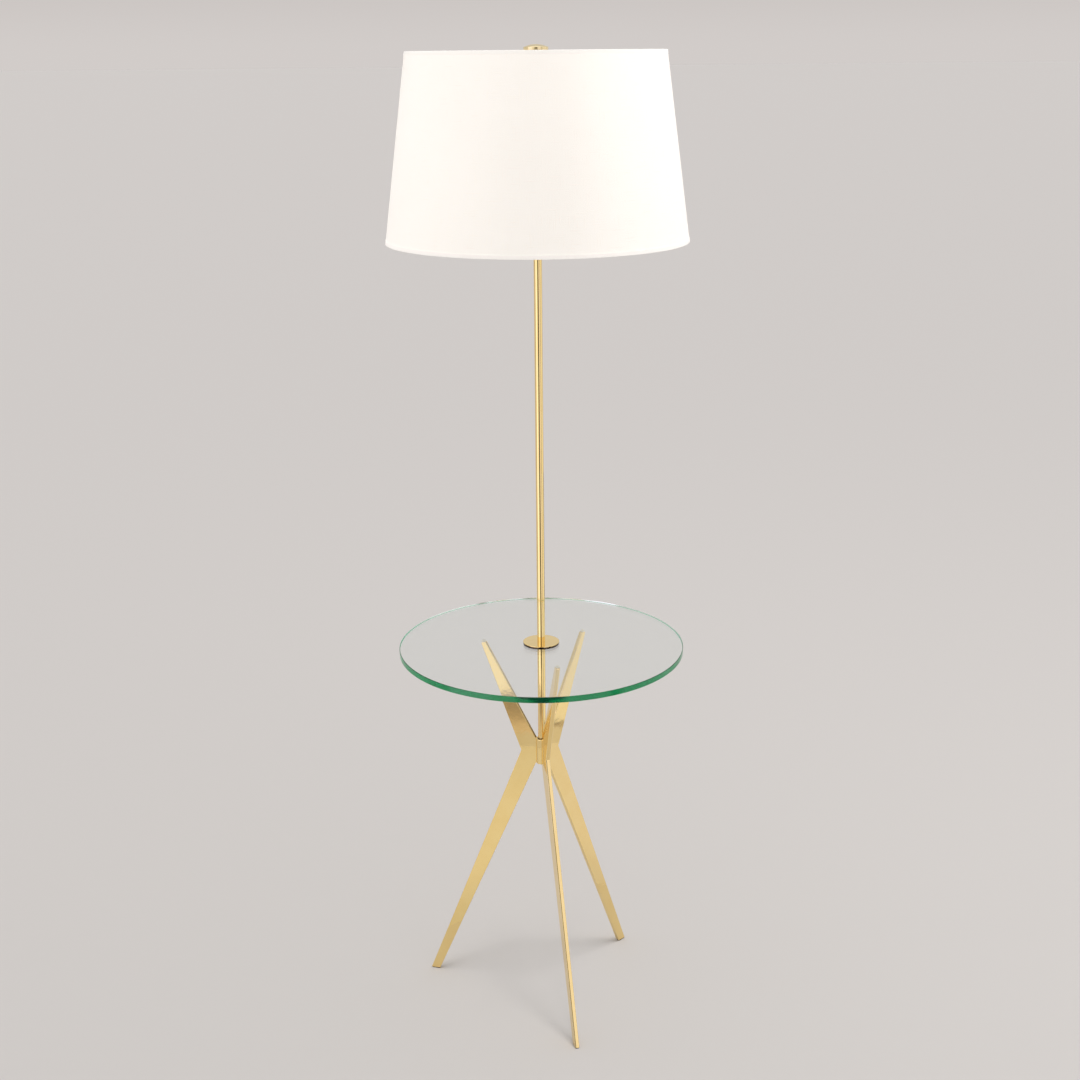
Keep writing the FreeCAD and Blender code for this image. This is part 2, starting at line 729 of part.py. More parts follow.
def harp_path():
    """Right half of the harp's centre line, from the saddle's lip up to the stud."""
    lean = math.radians(harp_lean_angle)
    sine = math.sin(lean)
    cosine = math.cos(lean)
    half_sine = math.sin(lean / 2)
    half_cosine = math.cos(lean / 2)
    start = at(harp_wire_x, lip_top)
    low = at(harp_wire_x, lip_top + ferrule_length + ferrule_travel + harp_straight_rest)
    bend_end = at(low.x + harp_lower_bend * (1 - cosine), low.z + harp_lower_bend * sine)
    bend_middle = at(low.x + harp_lower_bend * (1 - half_cosine), low.z + harp_lower_bend * half_sine)
    bends = (harp_lower_bend + harp_upper_bend) * (1 - cosine)
    run = (harp_half_width - harp_wire_x - bends) / sine
    run_end = at(bend_end.x + run * sine, bend_end.z + run * cosine)
    side = at(harp_half_width, run_end.z + harp_upper_bend * sine)
    side_middle = at(harp_half_width - harp_upper_bend * (1 - half_cosine), side.z - harp_upper_bend * half_sine)
    crown_start = at(harp_half_width, harp_top - harp_half_width)
    diagonal = math.sqrt(0.5)
    crown_middle = at(harp_half_width * diagonal, crown_start.z + harp_half_width * diagonal)
    crown = at(0, harp_top)
    edges = [
        line(start, low),
        arc(low, bend_middle, bend_end),
        line(bend_end, run_end),
        arc(run_end, side_middle, side),
        line(side, crown_start),
        arc(crown_start, crown_middle, crown),
    ]
    return edges, start


def harp_bow():
    """Wire loop round the bulb, both ends standing on the saddle's lips."""
    edges, start = harp_path()
    right = rod(edges, start, Vector(0, 0, 1), harp_wire_radius)
    left = right.mirror(Vector(0, 0, 0), Vector(1, 0, 0))
    return right.fuse(left).removeSplitter()


def harp_stud(bow):
    """Threaded post on a disc, crimped round the top of the harp."""
    base = cylinder(stud_base_radius, harp_top - 2 * harp_wire_radius, stud_disc_bottom)
    disc = cylinder(stud_disc_radius, stud_disc_bottom, stud_disc_top)
    post_top = stud_disc_top + stud_post_height
    post = cylinder(stud_post_radius, stud_disc_top, post_top)
    post = post.makeChamfer(stud_post_bevel, rims(post, stud_post_radius, post_top))
    return base.fuse(disc).fuse(post).removeSplitter().cut(bow)


def harp_ferrule(sense):
    """Sleeve that drops over a tongue and the wire beside it."""
    bottom = shoulder_height + body_gap
    sleeve = ring(ferrule_bore + ferrule_wall, ferrule_bore, bottom, bottom + ferrule_length)
    edges = rims(sleeve, ferrule_bore + ferrule_wall, bottom)
    edges += rims(sleeve, ferrule_bore + ferrule_wall, bottom + ferrule_length)
    sleeve = sleeve.makeFillet(ferrule_wall / 2.2, edges)
    sleeve.translate(Vector(sense * ferrule_x, 0, 0))
    return sleeve


def shade_radius(height, inset):
    """Radius of the shade's cone at a height, less an inset from its outer face."""
    share = (height - shade_bottom_height) / shade_height
    return shade_bottom_radius + (shade_top_radius - shade_bottom_radius) * share - inset


def cone_sheet(outer_inset, inner_inset, bottom, top):
    """Sheet between two insets from the shade's outer face."""
    return turned(polygon([
        at(shade_radius(bottom, outer_inset), bottom),
        at(shade_radius(top, outer_inset), top),
        at(shade_radius(top, inner_inset), top),
        at(shade_radius(bottom, inner_inset), bottom),
    ]))


def shade_ring(height):
    """Wire ring seated inside the liner."""
    return Part.makeTorus(shade_radius(height, ring_inset), ring_wire_radius, Vector(0, 0, height))


def hem(edge, inward):
    """Folded tape over one edge of the shade and down both its faces; inward is 1 for up, -1 for down."""
    inner = fabric_thickness + liner_thickness
    rim = edge + inward * hem_height
    fold = edge - inward * hem_thickness
    return turned(polygon([
        at(shade_radius(rim, -hem_thickness), rim),
        at(shade_radius(fold, -hem_thickness), fold),
        at(shade_radius(fold, inner + hem_thickness), fold),
        at(shade_radius(rim, inner + hem_thickness), rim),
        at(shade_radius(rim, inner), rim),
        at(shade_radius(edge, inner), edge),
        at(shade_radius(edge, 0), edge),
        at(shade_radius(rim, 0), rim),
    ]))


def spider_arm():
    """Wire arm along +X that runs out flat from the washer and then rises to the top ring."""
    weld = at(shade_radius(top_ring_height, ring_inset), top_ring_height)
    arm_height = spider_top + spider_wire_radius
    start = at(spider_arm_start, arm_height)
    corner = at(spider_arm_rise_radius, arm_height)
    slope = math.atan2(weld.z - corner.z, weld.x - corner.x)
    short = ring_wire_radius + weld_gap
    end = at(weld.x - short * math.cos(slope), weld.z - short * math.sin(slope))
    tangent = spider_bend * math.tan(slope / 2)
    before = at(corner.x - tangent, arm_height)
    after = at(corner.x + tangent * math.cos(slope), arm_height + tangent * math.sin(slope))
    half_rise = spider_bend * (1 - math.cos(slope / 2))
    middle = at(before.x + spider_bend * math.sin(slope / 2), arm_height + half_rise)
    path = [line(start, before), arc(before, middle, after), line(after, end)]
    return rod(path, start, Vector(1, 0, 0), spider_wire_radius)


def finial():
    """Turned finial: waisted neck, coved underside and a wide domed button, bored for the stud."""
    base = finial_bottom
    top = base + finial_height
    foot = finial_foot_radius
    foot_top = base + finial_foot_height
    cove_low = foot_top + finial_waist_height
    low = base + finial_button_bottom
    shoulder = low + finial_button_side
    radius = finial_button_radius
    bend = finial_edge_round
    half = bend * math.sqrt(0.5)
    edges = [
        line(at(0, base), at(foot, base)),
        line(at(foot, base), at(foot, foot_top)),
        arc(at(foot, foot_top), at(finial_neck_radius, (foot_top + cove_low) / 2), at(foot, cove_low)),
        arc(at(foot, cove_low), at(foot + finial_cove_out, cove_low + finial_cove_up), at(radius - bend, low)),
        arc(at(radius - bend, low), at(radius - bend + half, low + bend - half), at(radius, low + bend)),
        line(at(radius, low + bend), at(radius, shoulder)),
        dome(at(0, top), at(radius, shoulder)),
        line(at(0, top), at(0, base)),
    ]
    solid = turned(Part.Wire(edges))
    solid = solid.makeFillet(bend, rims(solid, radius, shoulder))
    return solid.cut(cylinder(stud_post_radius + finial_thread_clearance, base - 1, base + finial_bore_depth))


# Stand
plate = leg_plate()
glide = foot_glide()
bumper = glass_bumper()
for name, direction in zip(leg_names, leg_directions):
    save("leg_" + name, turned_to(plate, direction))
    save("foot_glide_" + name, turned_to(glide, direction))
    save("glass_bumper_" + name, turned_to(bumper, direction))
save("hub_sleeve", hub_sleeve())
save("cord_bushing", cord_bushing())
save("lower_stem", stem_tube(hub_bottom + outlet_recess, stem_joint_height))
save("stem_coupler", ring(stem_bore, coupler_bore, stem_joint_height - coupler_length / 2,
                          stem_joint_height + coupler_length / 2))
save("upper_stem", stem_tube(stem_joint_height, stem_top_height))

# Table
save("glass_top", glass_top())
save("glass_bushing", glass_bushing())
save("table_collar", table_collar())

# Head
save("stem_nipple", ring(stem_bore, nipple_bore, stem_top_height - nipple_depth, cap_bottom + cap_neck_height))
save("check_ring", check_ring())
save("harp_saddle", harp_saddle())
save("lock_nut", lock_nut())
save("lock_washer", ring(lock_washer_radius, stem_bore + slip, washer_bottom, cap_bottom))
save("socket_cap", socket_cap())
save("cap_screw", cap_screw())
save("socket_shell", socket_shell())
save("paper_liner", paper_liner())
save("socket_body", socket_body())
save("terminal_screws", terminal_screws())
save("screw_shell", screw_shell())
save("centre_contact", centre_contact())
save("switch_shaft", switch_shaft())
save("switch_knob", switch_knob())
save("bulb_globe", bulb_globe())
save("bulb_base", bulb_base())
save("bulb_insulator", bulb_insulator())
save("bulb_contact", bulb_contact())
bow = harp_bow()
save("harp_bow", bow)
save("harp_stud", harp_stud(bow))
save("harp_ferrule_right", harp_ferrule(1))
save("harp_ferrule_left", harp_ferrule(-1))

# Shade
save("spider_washer", ring(spider_washer_radius, spider_hole_radius, spider_bottom, spider_top))
arm = spider_arm()
for name, direction in zip(spider_arm_names, spider_directions):
    save("spider_arm_" + name, turned_to(arm, direction))
save("top_ring", shade_ring(top_ring_height))
save("bottom_ring", shade_ring(bottom_ring_height))
save("shade_liner", cone_sheet(fabric_thickness, fabric_thickness + liner_thickness, shade_bottom_height, shade_top))
save("shade_fabric", cone_sheet(0, fabric_thickness, shade_bottom_height, shade_top))
save("top_hem", hem(shade_top, -1))
save("bottom_hem", hem(shade_bottom_height, 1))
save("finial", finial())
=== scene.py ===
import math
import bmesh
import bpy
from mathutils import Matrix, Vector


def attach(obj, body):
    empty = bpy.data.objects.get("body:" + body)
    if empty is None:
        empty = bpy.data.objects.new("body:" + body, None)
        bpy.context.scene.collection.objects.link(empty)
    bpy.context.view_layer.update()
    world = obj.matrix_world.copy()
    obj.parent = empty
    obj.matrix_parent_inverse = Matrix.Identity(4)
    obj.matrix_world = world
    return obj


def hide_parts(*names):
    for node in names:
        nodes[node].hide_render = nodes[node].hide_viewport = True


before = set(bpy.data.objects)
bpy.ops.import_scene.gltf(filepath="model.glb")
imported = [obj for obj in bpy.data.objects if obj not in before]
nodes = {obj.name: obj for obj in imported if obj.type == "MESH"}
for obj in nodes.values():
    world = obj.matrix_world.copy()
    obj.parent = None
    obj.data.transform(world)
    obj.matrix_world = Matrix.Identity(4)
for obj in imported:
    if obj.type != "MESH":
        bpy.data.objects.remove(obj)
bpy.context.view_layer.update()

# Brass floor lamp with a round glass table, in a plain pale studio.
# Metres. The stem stands on the Z axis, the front leg points to -Y and the floor is z = 0.

scene = bpy.context.scene


# small helpers
def addNode(tree, kind, **settings):
    node = tree.nodes.new(kind)
    for name, value in settings.items():
        setattr(node, name, value)
    return node


def calc(tree, operation, first, second=None, third=None):
    # a Math node; numbers are set on it and sockets are linked to it
    node = addNode(tree, "ShaderNodeMath", operation=operation)
    for index, value in enumerate((first, second, third)):
        if value is None:
            continue
        if isinstance(value, (int, float)):
            node.inputs[index].default_value = value
        else:
            tree.links.new(value, node.inputs[index])
    return node.outputs[0]


def spread(tree, value, low, high, toLow=0.0, toHigh=1.0, smooth=True):
    # Map Range, smooth unless asked otherwise
    node = addNode(tree, "ShaderNodeMapRange", interpolation_type="SMOOTHSTEP" if smooth else "LINEAR")
    tree.links.new(value, node.inputs["Value"])
    node.inputs["From Min"].default_value = low
    node.inputs["From Max"].default_value = high
    node.inputs["To Min"].default_value = toLow
    node.inputs["To Max"].default_value = toHigh
    return node.outputs["Result"]


def blendColor(tree, factor, first, second):
    node = addNode(tree, "ShaderNodeMix", data_type="RGBA")
    for index, value in ((0, factor), (6, first), (7, second)):
        if isinstance(value, (int, float)):
            node.inputs[index].default_value = value
        elif isinstance(value, tuple):
            node.inputs[index].default_value = value if len(value) == 4 else value + (1.0,)
        else:
            tree.links.new(value, node.inputs[index])
    return node.outputs[2]


def objectPlace(tree):
    return addNode(tree, "ShaderNodeTexCoord").outputs["Object"]


def axes(tree, vector):
    node = addNode(tree, "ShaderNodeSeparateXYZ")
    tree.links.new(vector, node.inputs[0])
    return node.outputs


def fromAxis(tree, x, y):
    # distance from the Z axis
    return calc(tree, "SQRT", calc(tree, "ADD", calc(tree, "MULTIPLY", x, x), calc(tree, "MULTIPLY", y, y)))


def bumpFrom(tree, height, distance, strength, shader):
    bump = addNode(tree, "ShaderNodeBump")
    bump.inputs["Strength"].default_value = strength
    bump.inputs["Distance"].default_value = distance
    tree.links.new(height, bump.inputs["Height"])
    tree.links.new(bump.outputs["Normal"], shader.inputs["Normal"])
    return bump


def newSurface(name, values):
    # a Principled material with the plain values set on its sockets
    material = bpy.data.materials.new(name)
    material.use_nodes = True
    shader = material.node_tree.nodes["Principled BSDF"]
    for socket, value in values.items():
        if isinstance(value, tuple) and len(value) == 3 and shader.inputs[socket].type == "RGBA":
            value = value + (1.0,)
        shader.inputs[socket].default_value = value
    return material, material.node_tree, shader


# effects that several finishes share
def startGroup(name, inputs, outputs):
    group = bpy.data.node_groups.new(name, "ShaderNodeTree")
    for label, kind, value in inputs:
        socket = group.interface.new_socket(label, in_out="INPUT", socket_type=kind)
        if value is not None:
            socket.default_value = value
    for label, kind in outputs:
        group.interface.new_socket(label, in_out="OUTPUT", socket_type=kind)
    return group, group.nodes.new("NodeGroupInput"), group.nodes.new("NodeGroupOutput")


def buildHandlingMarks():
    # soft blotches, as of wiping and fingers
    group, given, out = startGroup(
        "handlingMarks",
        [("Vector", "NodeSocketVector", None), ("Size", "NodeSocketFloat", 0.02),
         ("Softness", "NodeSocketFloat", 0.2)],
        [("Mask", "NodeSocketFloat")])
    noise = addNode(group, "ShaderNodeTexNoise")
    noise.inputs["Detail"].default_value = 4.0
    noise.inputs["Roughness"].default_value = 0.6
    group.links.new(given.outputs["Vector"], noise.inputs["Vector"])
    group.links.new(calc(group, "DIVIDE", 1.0, given.outputs["Size"]), noise.inputs["Scale"])
    reach = addNode(group, "ShaderNodeMapRange", interpolation_type="SMOOTHSTEP")
    group.links.new(noise.outputs["Fac"], reach.inputs["Value"])
    group.links.new(calc(group, "SUBTRACT", 0.5, given.outputs["Softness"]), reach.inputs["From Min"])
    group.links.new(calc(group, "ADD", 0.5, given.outputs["Softness"]), reach.inputs["From Max"])
    group.links.new(reach.outputs["Result"], out.inputs["Mask"])
    return group


def buildDrawnLines():
    # long fine lines along the vector's Z, as drawing or belt polishing leaves them
    group, given, out = startGroup(
        "drawnLines",
        [("Vector", "NodeSocketVector", None), ("Spacing", "NodeSocketFloat", 0.0004),
         ("Length", "NodeSocketFloat", 0.05)],
        [("Height", "NodeSocketFloat")])
    across = calc(group, "DIVIDE", 1.0, given.outputs["Spacing"])
    along = calc(group, "DIVIDE", 1.0, given.outputs["Length"])
    scale = addNode(group, "ShaderNodeCombineXYZ")
    group.links.new(across, scale.inputs[0])
    group.links.new(across, scale.inputs[1])
    group.links.new(along, scale.inputs[2])
    stretched = addNode(group, "ShaderNodeVectorMath", operation="MULTIPLY")
    group.links.new(given.outputs["Vector"], stretched.inputs[0])
    group.links.new(scale.outputs[0], stretched.inputs[1])
    noise = addNode(group, "ShaderNodeTexNoise")
    noise.inputs["Scale"].default_value = 1.0
    noise.inputs["Detail"].default_value = 2.0
    group.links.new(stretched.outputs[0], noise.inputs["Vector"])
    group.links.new(noise.outputs["Fac"], out.inputs["Height"])
    return group


def buildPlainWeave():
    # warp over weft over a flat vector in metres, with thicker slubs here and there
    group, given, out = startGroup(
        "plainWeave",
        [("Vector", "NodeSocketVector", None), ("Pitch", "NodeSocketFloat", 0.0006)],
        [("Height", "NodeSocketFloat"), ("Slub", "NodeSocketFloat")])
    u, v, unused = axes(group, given.outputs["Vector"])
    turnsU = calc(group, "DIVIDE", u, given.outputs["Pitch"])
    turnsV = calc(group, "DIVIDE", v, given.outputs["Pitch"])
    waveU = calc(group, "SINE", calc(group, "MULTIPLY", turnsU, math.pi))
    waveV = calc(group, "SINE", calc(group, "MULTIPLY", turnsV, math.pi))
    over = calc(group, "MULTIPLY", waveU, waveV)
    threads = calc(group, "ADD", calc(group, "ABSOLUTE", waveU), calc(group, "ABSOLUTE", waveV))
    slubs = []
    slubScale = 900.0
    drawnOut = 0.04                 # slubs run on along their own yarn
    for alongU in (drawnOut, 1.0):
        scale = addNode(group, "ShaderNodeCombineXYZ")
        scale.inputs[0].default_value = slubScale * alongU
        scale.inputs[1].default_value = slubScale * (1.0 + drawnOut - alongU)
        stretched = addNode(group, "ShaderNodeVectorMath", operation="MULTIPLY")
        group.links.new(given.outputs["Vector"], stretched.inputs[0])
        group.links.new(scale.outputs[0], stretched.inputs[1])
        noise = addNode(group, "ShaderNodeTexNoise")
        noise.inputs["Scale"].default_value = 1.0
        noise.inputs["Detail"].default_value = 1.0
        group.links.new(stretched.outputs[0], noise.inputs["Vector"])
        slubs.append(spread(group, noise.outputs["Fac"], 0.58, 0.8))
    slub = calc(group, "MAXIMUM", slubs[0], slubs[1])
    cloth = calc(group, "ADD", calc(group, "MULTIPLY", over, 0.35), calc(group, "MULTIPLY", threads, 0.3))
    group.links.new(calc(group, "ADD", cloth, calc(group, "MULTIPLY", slub, 0.8)), out.inputs["Height"])
    group.links.new(slub, out.inputs["Slub"])
    return group


def buildScrewThread():
    # thread ridges round the Z axis, out to one radius
    group, given, out = startGroup(
        "screwThread",
        [("Vector", "NodeSocketVector", None), ("Pitch", "NodeSocketFloat", 0.00094),
         ("Radius", "NodeSocketFloat", 0.0034)],
        [("Height", "NodeSocketFloat")])
    x, y, z = axes(group, given.outputs["Vector"])
    turn = calc(group, "DIVIDE", calc(group, "ARCTAN2", y, x), 2 * math.pi)
    climb = calc(group, "DIVIDE", z, given.outputs["Pitch"])
    ridge = calc(group, "PINGPONG", calc(group, "SUBTRACT", climb, turn), 0.5)
    inside = calc(group, "LESS_THAN", fromAxis(group, x, y), given.outputs["Radius"])
    group.links.new(calc(group, "MULTIPLY", ridge, inside), out.inputs["Height"])
    return group


def buildSettledDust():
    # a thin speckled film on what faces up
    group, given, out = startGroup(
        "settledDust", [("Vector", "NodeSocketVector", None), ("Amount", "NodeSocketFloat", 0.2)],
        [("Mask", "NodeSocketFloat")])
    up = axes(group, addNode(group, "ShaderNodeNewGeometry").outputs["Normal"])[2]
    noise = addNode(group, "ShaderNodeTexNoise")
    noise.inputs["Scale"].default_value = 420.0
    noise.inputs["Detail"].default_value = 6.0
    noise.inputs["Roughness"].default_value = 0.7
    group.links.new(given.outputs["Vector"], noise.inputs["Vector"])
    specks = spread(group, noise.outputs["Fac"], 0.42, 0.72)
    film = calc(group, "MULTIPLY", spread(group, up, 0.6, 0.95), specks)
    group.links.new(calc(group, "MULTIPLY", film, given.outputs["Amount"]), out.inputs["Mask"])
    return group


handlingMarks = buildHandlingMarks()
drawnLines = buildDrawnLines()
plainWeave = buildPlainWeave()
screwThread = buildScrewThread()
settledDust = buildSettledDust()
print("shared effects built")


def place(tree, group, vector, **values):
    # an instance of a shared effect with its own values
    node = addNode(tree, "ShaderNodeGroup", node_tree=group)
    tree.links.new(vector, node.inputs["Vector"])
    for name, value in values.items():
        node.inputs[name.capitalize()].default_value = value
    return node.outputs


# brass
brassLook = {
    "color": (0.955, 0.735, 0.335),
    "deepColor": (0.91, 0.665, 0.265),      # where the lacquer is thicker or the metal was handled
    # the rubbed colour also pales the whole finial, as a painted highlight
    "rubAndHighlightColor": (0.95, 0.83, 0.56),         # along rubbed edges
    "legRoughness": (0.04, 0.08),
    "legCrown": 30.0,                       # height lost per square metre across a narrow face
    "legWave": (0.011, 0.00005),            # size and depth of the hand polish's unevenness
    "tubeRoughness": (0.05, 0.09),
    "lineSpacing": 0.00035,
    "lineLength": 0.06,
    "lineDepth": 0.000005,
    "markSize": 0.035, "fineMarkSize": 0.006,
    "markShare": 0.4, "rubAndHighlightShare": 0.6,      # how far marks and rubbing change the colour
    "sheenShares": (0.5, 0.2, 0.3),         # how far marks, fine marks and lines change the roughness
    "dust": 0.05, "dustColor": (0.62, 0.58, 0.52), "dustRoughness": 0.5,
    "coat": 0.25, "coatRoughness": 0.06, "legCoatRoughness": 0.12,
    # painted shade low on the collar's wall: its colour and the height over which it fades in
    "paintedShadeColor": (0.10, 0.065, 0.035), "paintedShadeBlend": 0.00015,
    "elbowHeight": 0.434,
    "plateSpread": 0.41,                    # how far a plate runs out for each metre of height from the elbow
}


def finishBrass(tree, shader, vector, lineVector, roughness, rubAndHighlight=None, crown=None):
    look = brassLook
    marks = place(tree, handlingMarks, vector, size=look["markSize"], softness=0.16)["Mask"]
    fineMarks = place(tree, handlingMarks, vector, size=look["fineMarkSize"], softness=0.22)["Mask"]
    lines = place(tree, drawnLines, lineVector, spacing=look["lineSpacing"],
                  length=look["lineLength"])["Height"]
    dust = place(tree, settledDust, vector, amount=look["dust"])["Mask"]
    deeper = calc(tree, "MULTIPLY", marks, look["markShare"])
    color = blendColor(tree, deeper, look["color"], look["deepColor"])
    # rubbed edges pale the colour; where it is given all over, as on the finial, it is a painted highlight
    if rubAndHighlight is not None:
        color = blendColor(tree, calc(tree, "MULTIPLY", rubAndHighlight, look["rubAndHighlightShare"]), color, look["rubAndHighlightColor"])
    color = blendColor(tree, dust, color, look["dustColor"])
    tree.links.new(color, shader.inputs["Base Color"])
    shares = look["sheenShares"]
    sheen = calc(tree, "ADD", calc(tree, "MULTIPLY", marks, shares[0]),
                 calc(tree, "MULTIPLY", fineMarks, shares[1]))
    sheen = calc(tree, "ADD", sheen, calc(tree, "MULTIPLY", lines, shares[2]))
    rough = spread(tree, sheen, 0.0, 1.0, roughness[0], roughness[1], smooth=False)
    dulled = calc(tree, "MULTIPLY", dust, look["dustRoughness"])
    tree.links.new(calc(tree, "ADD", rough, dulled), shader.inputs["Roughness"])
    bump = bumpFrom(tree, lines, look["lineDepth"], 0.5, shader)
    if crown is not None:
        # the belt leaves the faces a little uneven and the narrow ones crowned
        noise = addNode(tree, "ShaderNodeTexNoise")
        noise.inputs["Scale"].default_value = 1.0 / look["legWave"][0]
        noise.inputs["Detail"].default_value = 2.0
        tree.links.new(vector, noise.inputs["Vector"])
        swell = addNode(tree, "ShaderNodeBump")
        swell.inputs["Strength"].default_value = 1.0
        swell.inputs["Distance"].default_value = 1.0
        uneven = calc(tree, "MULTIPLY", noise.outputs["Fac"], look["legWave"][1])
        fall = calc(tree, "MULTIPLY", calc(tree, "MULTIPLY", crown, crown), look["legCrown"])
        tree.links.new(calc(tree, "SUBTRACT", uneven, fall), swell.inputs["Height"])
        tree.links.new(swell.outputs["Normal"], bump.inputs["Normal"])
    return color


def makeLegBrass(name, degrees):
    # flat plate brass whose polishing lines follow the leg down and its arm up
    material, tree, shader = newSurface(name, {
        "Metallic": 1.0, "Coat Weight": brassLook["coat"], "Coat Roughness": brassLook["legCoatRoughness"]})
    turned = []
    for source in (objectPlace(tree), addNode(tree, "ShaderNodeNewGeometry").outputs["Normal"]):
        turn = addNode(tree, "ShaderNodeVectorRotate", rotation_type="Z_AXIS")
        turn.inputs["Angle"].default_value = math.radians(-degrees)
        tree.links.new(source, turn.inputs["Vector"])
        turned.append(turn.outputs[0])
    x, y, z = axes(tree, turned[0])
    fromElbow = calc(tree, "ABSOLUTE", calc(tree, "SUBTRACT", z, brassLook["elbowHeight"]))
    across = calc(tree, "SUBTRACT", x, calc(tree, "MULTIPLY", fromElbow, brassLook["plateSpread"]))
    follow = addNode(tree, "ShaderNodeCombineXYZ")
    tree.links.new(across, follow.inputs[0])
    tree.links.new(y, follow.inputs[1])
    tree.links.new(z, follow.inputs[2])
    side = calc(tree, "ABSOLUTE", axes(tree, turned[1])[1])      # 1 on the broad faces, 0 on the narrow ones
    edge = spread(tree, calc(tree, "PINGPONG", side, 0.5), 0.1, 0.45)
    finishBrass(tree, shader, turned[0], follow.outputs[0], brassLook["legRoughness"], edge, y)
    return material


def makeTubeBrass(name, roughness, coat=brassLook["coat"]):
    # drawn tube, wire and pressed parts
    material, tree, shader = newSurface(name, {
        "Metallic": 1.0, "Coat Weight": coat, "Coat Roughness": brassLook["coatRoughness"]})
    vector = objectPlace(tree)
    finishBrass(tree, shader, vector, vector, roughness)
    return material


def makeTurnedBrass(name, roughness, paintedShadeHeight=None, rubAndHighlight=None):
    # parts faced in a lathe: fine rings round the stem's axis, with painted shade below a height if one is
    # given, and paled all over as a painted highlight if asked
    look = brassLook
    material, tree, shader = newSurface(name, {
        "Metallic": 1.0, "Coat Weight": look["coat"], "Coat Roughness": look["coatRoughness"]})
    vector = objectPlace(tree)
    x, y, z = axes(tree, vector)
    rings = addNode(tree, "ShaderNodeCombineXYZ")
    tree.links.new(fromAxis(tree, x, y), rings.inputs[0])
    tree.links.new(z, rings.inputs[1])
    color = finishBrass(tree, shader, vector, rings.outputs[0], roughness, rubAndHighlight)
    # painted shade: below the given height the colour goes dark
    if paintedShadeHeight is not None:
        paintedShade = spread(tree, z, paintedShadeHeight + look["paintedShadeBlend"], paintedShadeHeight - look["paintedShadeBlend"])
        tree.links.new(blendColor(tree, paintedShade, color, look["paintedShadeColor"]), shader.inputs["Base Color"])
    return material


def makeStudBrass():
    material, tree, shader = newSurface("studBrass", {"Metallic": 1.0, "Roughness": 0.28})
    vector = objectPlace(tree)
    marks = place(tree, handlingMarks, vector, size=0.004, softness=0.2)["Mask"]
    color = blendColor(tree, marks, brassLook["deepColor"], brassLook["color"])
    tree.links.new(color, shader.inputs["Base Color"])
    tree.links.new(spread(tree, marks, 0.0, 1.0, 0.22, 0.36), shader.inputs["Roughness"])
    ridges = place(tree, screwThread, vector, pitch=0.00094, radius=0.0034)["Height"]
    bumpFrom(tree, ridges, 0.0006, 1.0, shader)
    return material


legBrass = {
    "leg_front": makeLegBrass("legBrassFront", -90.0),
    "leg_right": makeLegBrass("legBrassRight", 30.0),
    "leg_left": makeLegBrass("legBrassLeft", 150.0),
}
tubeBrass = makeTubeBrass("tubeBrass", brassLook["tubeRoughness"])
turnedBrass = makeTurnedBrass("turnedBrass", (0.06, 0.12))
# the whole finial is paled towards the rubbed colour as a painted highlight
finialBrass = makeTurnedBrass("finialBrass", (0.13, 0.20), rubAndHighlight=1.0)
# the collar's wall is darkened at its foot as painted shade
collarBrass = makeTurnedBrass("collarBrass", (0.06, 0.12), paintedShadeHeight=0.6275)
headBrass = makeTubeBrass("headBrass", (0.22, 0.36), coat=0.0)
studBrass = makeStudBrass()
print("brass finishes built")


# glass and plastics
tableGlass = {
    "tint": (0.30, 0.72, 0.66),         # of the light left in a metre's depth
    "density": 5.0,
    # the rim's glow is painted light, an emission standing in for the green light it gathers
    "rimColor": (0.001, 0.41, 0.125), "paintedRimGlow": (0.0, 0.045, 0.018),
    "edgeRadius": 0.2277, "edgeBlend": 0.0003,
    "edgeRoughness": 0.13,
    "smearRoughness": 0.012,
    "shadowTint": (0.90, 0.955, 0.935, 1.0),
}


def makeTableGlass():
    look = tableGlass
    material, tree, shader = newSurface("tableGlass", {
        "Base Color": (1.0, 1.0, 1.0), "Roughness": 0.0, "IOR": 1.52, "Transmission Weight": 1.0})
    vector = objectPlace(tree)
    x, y, z = axes(tree, vector)
    edge = look["edgeRadius"]
    rim = spread(tree, fromAxis(tree, x, y), edge - look["edgeBlend"], edge + look["edgeBlend"])
    ground = calc(tree, "MULTIPLY", rim, look["edgeRoughness"])
    smears = place(tree, handlingMarks, vector, size=0.06, softness=0.1)["Mask"]
    rough = calc(tree, "ADD", ground, calc(tree, "MULTIPLY", smears, look["smearRoughness"]))
    tree.links.new(rough, shader.inputs["Roughness"])
    tree.links.new(blendColor(tree, rim, (1.0, 1.0, 1.0), look["rimColor"]), shader.inputs["Base Color"])
    # painted glow: the green that the rim gathers from the whole plate, given as emission
    tree.links.new(blendColor(tree, rim, (0.0, 0.0, 0.0), look["paintedRimGlow"]), shader.inputs["Emission Color"])
    shader.inputs["Emission Strength"].default_value = 1.0
    inside = addNode(tree, "ShaderNodeVolumeAbsorption")
    inside.inputs["Color"].default_value = look["tint"] + (1.0,)
    inside.inputs["Density"].default_value = look["density"]
    output = tree.nodes["Material Output"]
    tree.links.new(inside.outputs[0], output.inputs["Volume"])
    # lamps shine straight through, so the glass casts only a pale shadow
    rays = addNode(tree, "ShaderNodeLightPath")
    clear = addNode(tree, "ShaderNodeBsdfTransparent")
    clear.inputs["Color"].default_value = look["shadowTint"]
    mix = addNode(tree, "ShaderNodeMixShader")
    tree.links.new(rays.outputs["Is Shadow Ray"], mix.inputs[0])
    tree.links.new(shader.outputs[0], mix.inputs[1])
    tree.links.new(clear.outputs[0], mix.inputs[2])
    tree.links.new(mix.outputs[0], output.inputs["Surface"])
    return material


def makeClearPlastic():
    material, tree, shader = newSurface("clearPlastic", {
        "Base Color": (0.88, 0.83, 0.71), "IOR": 1.46, "Transmission Weight": 0.12})
    marks = place(tree, handlingMarks, objectPlace(tree), size=0.003, softness=0.25)["Mask"]
    tree.links.new(spread(tree, marks, 0.0, 1.0, 0.08, 0.2), shader.inputs["Roughness"])
    return material


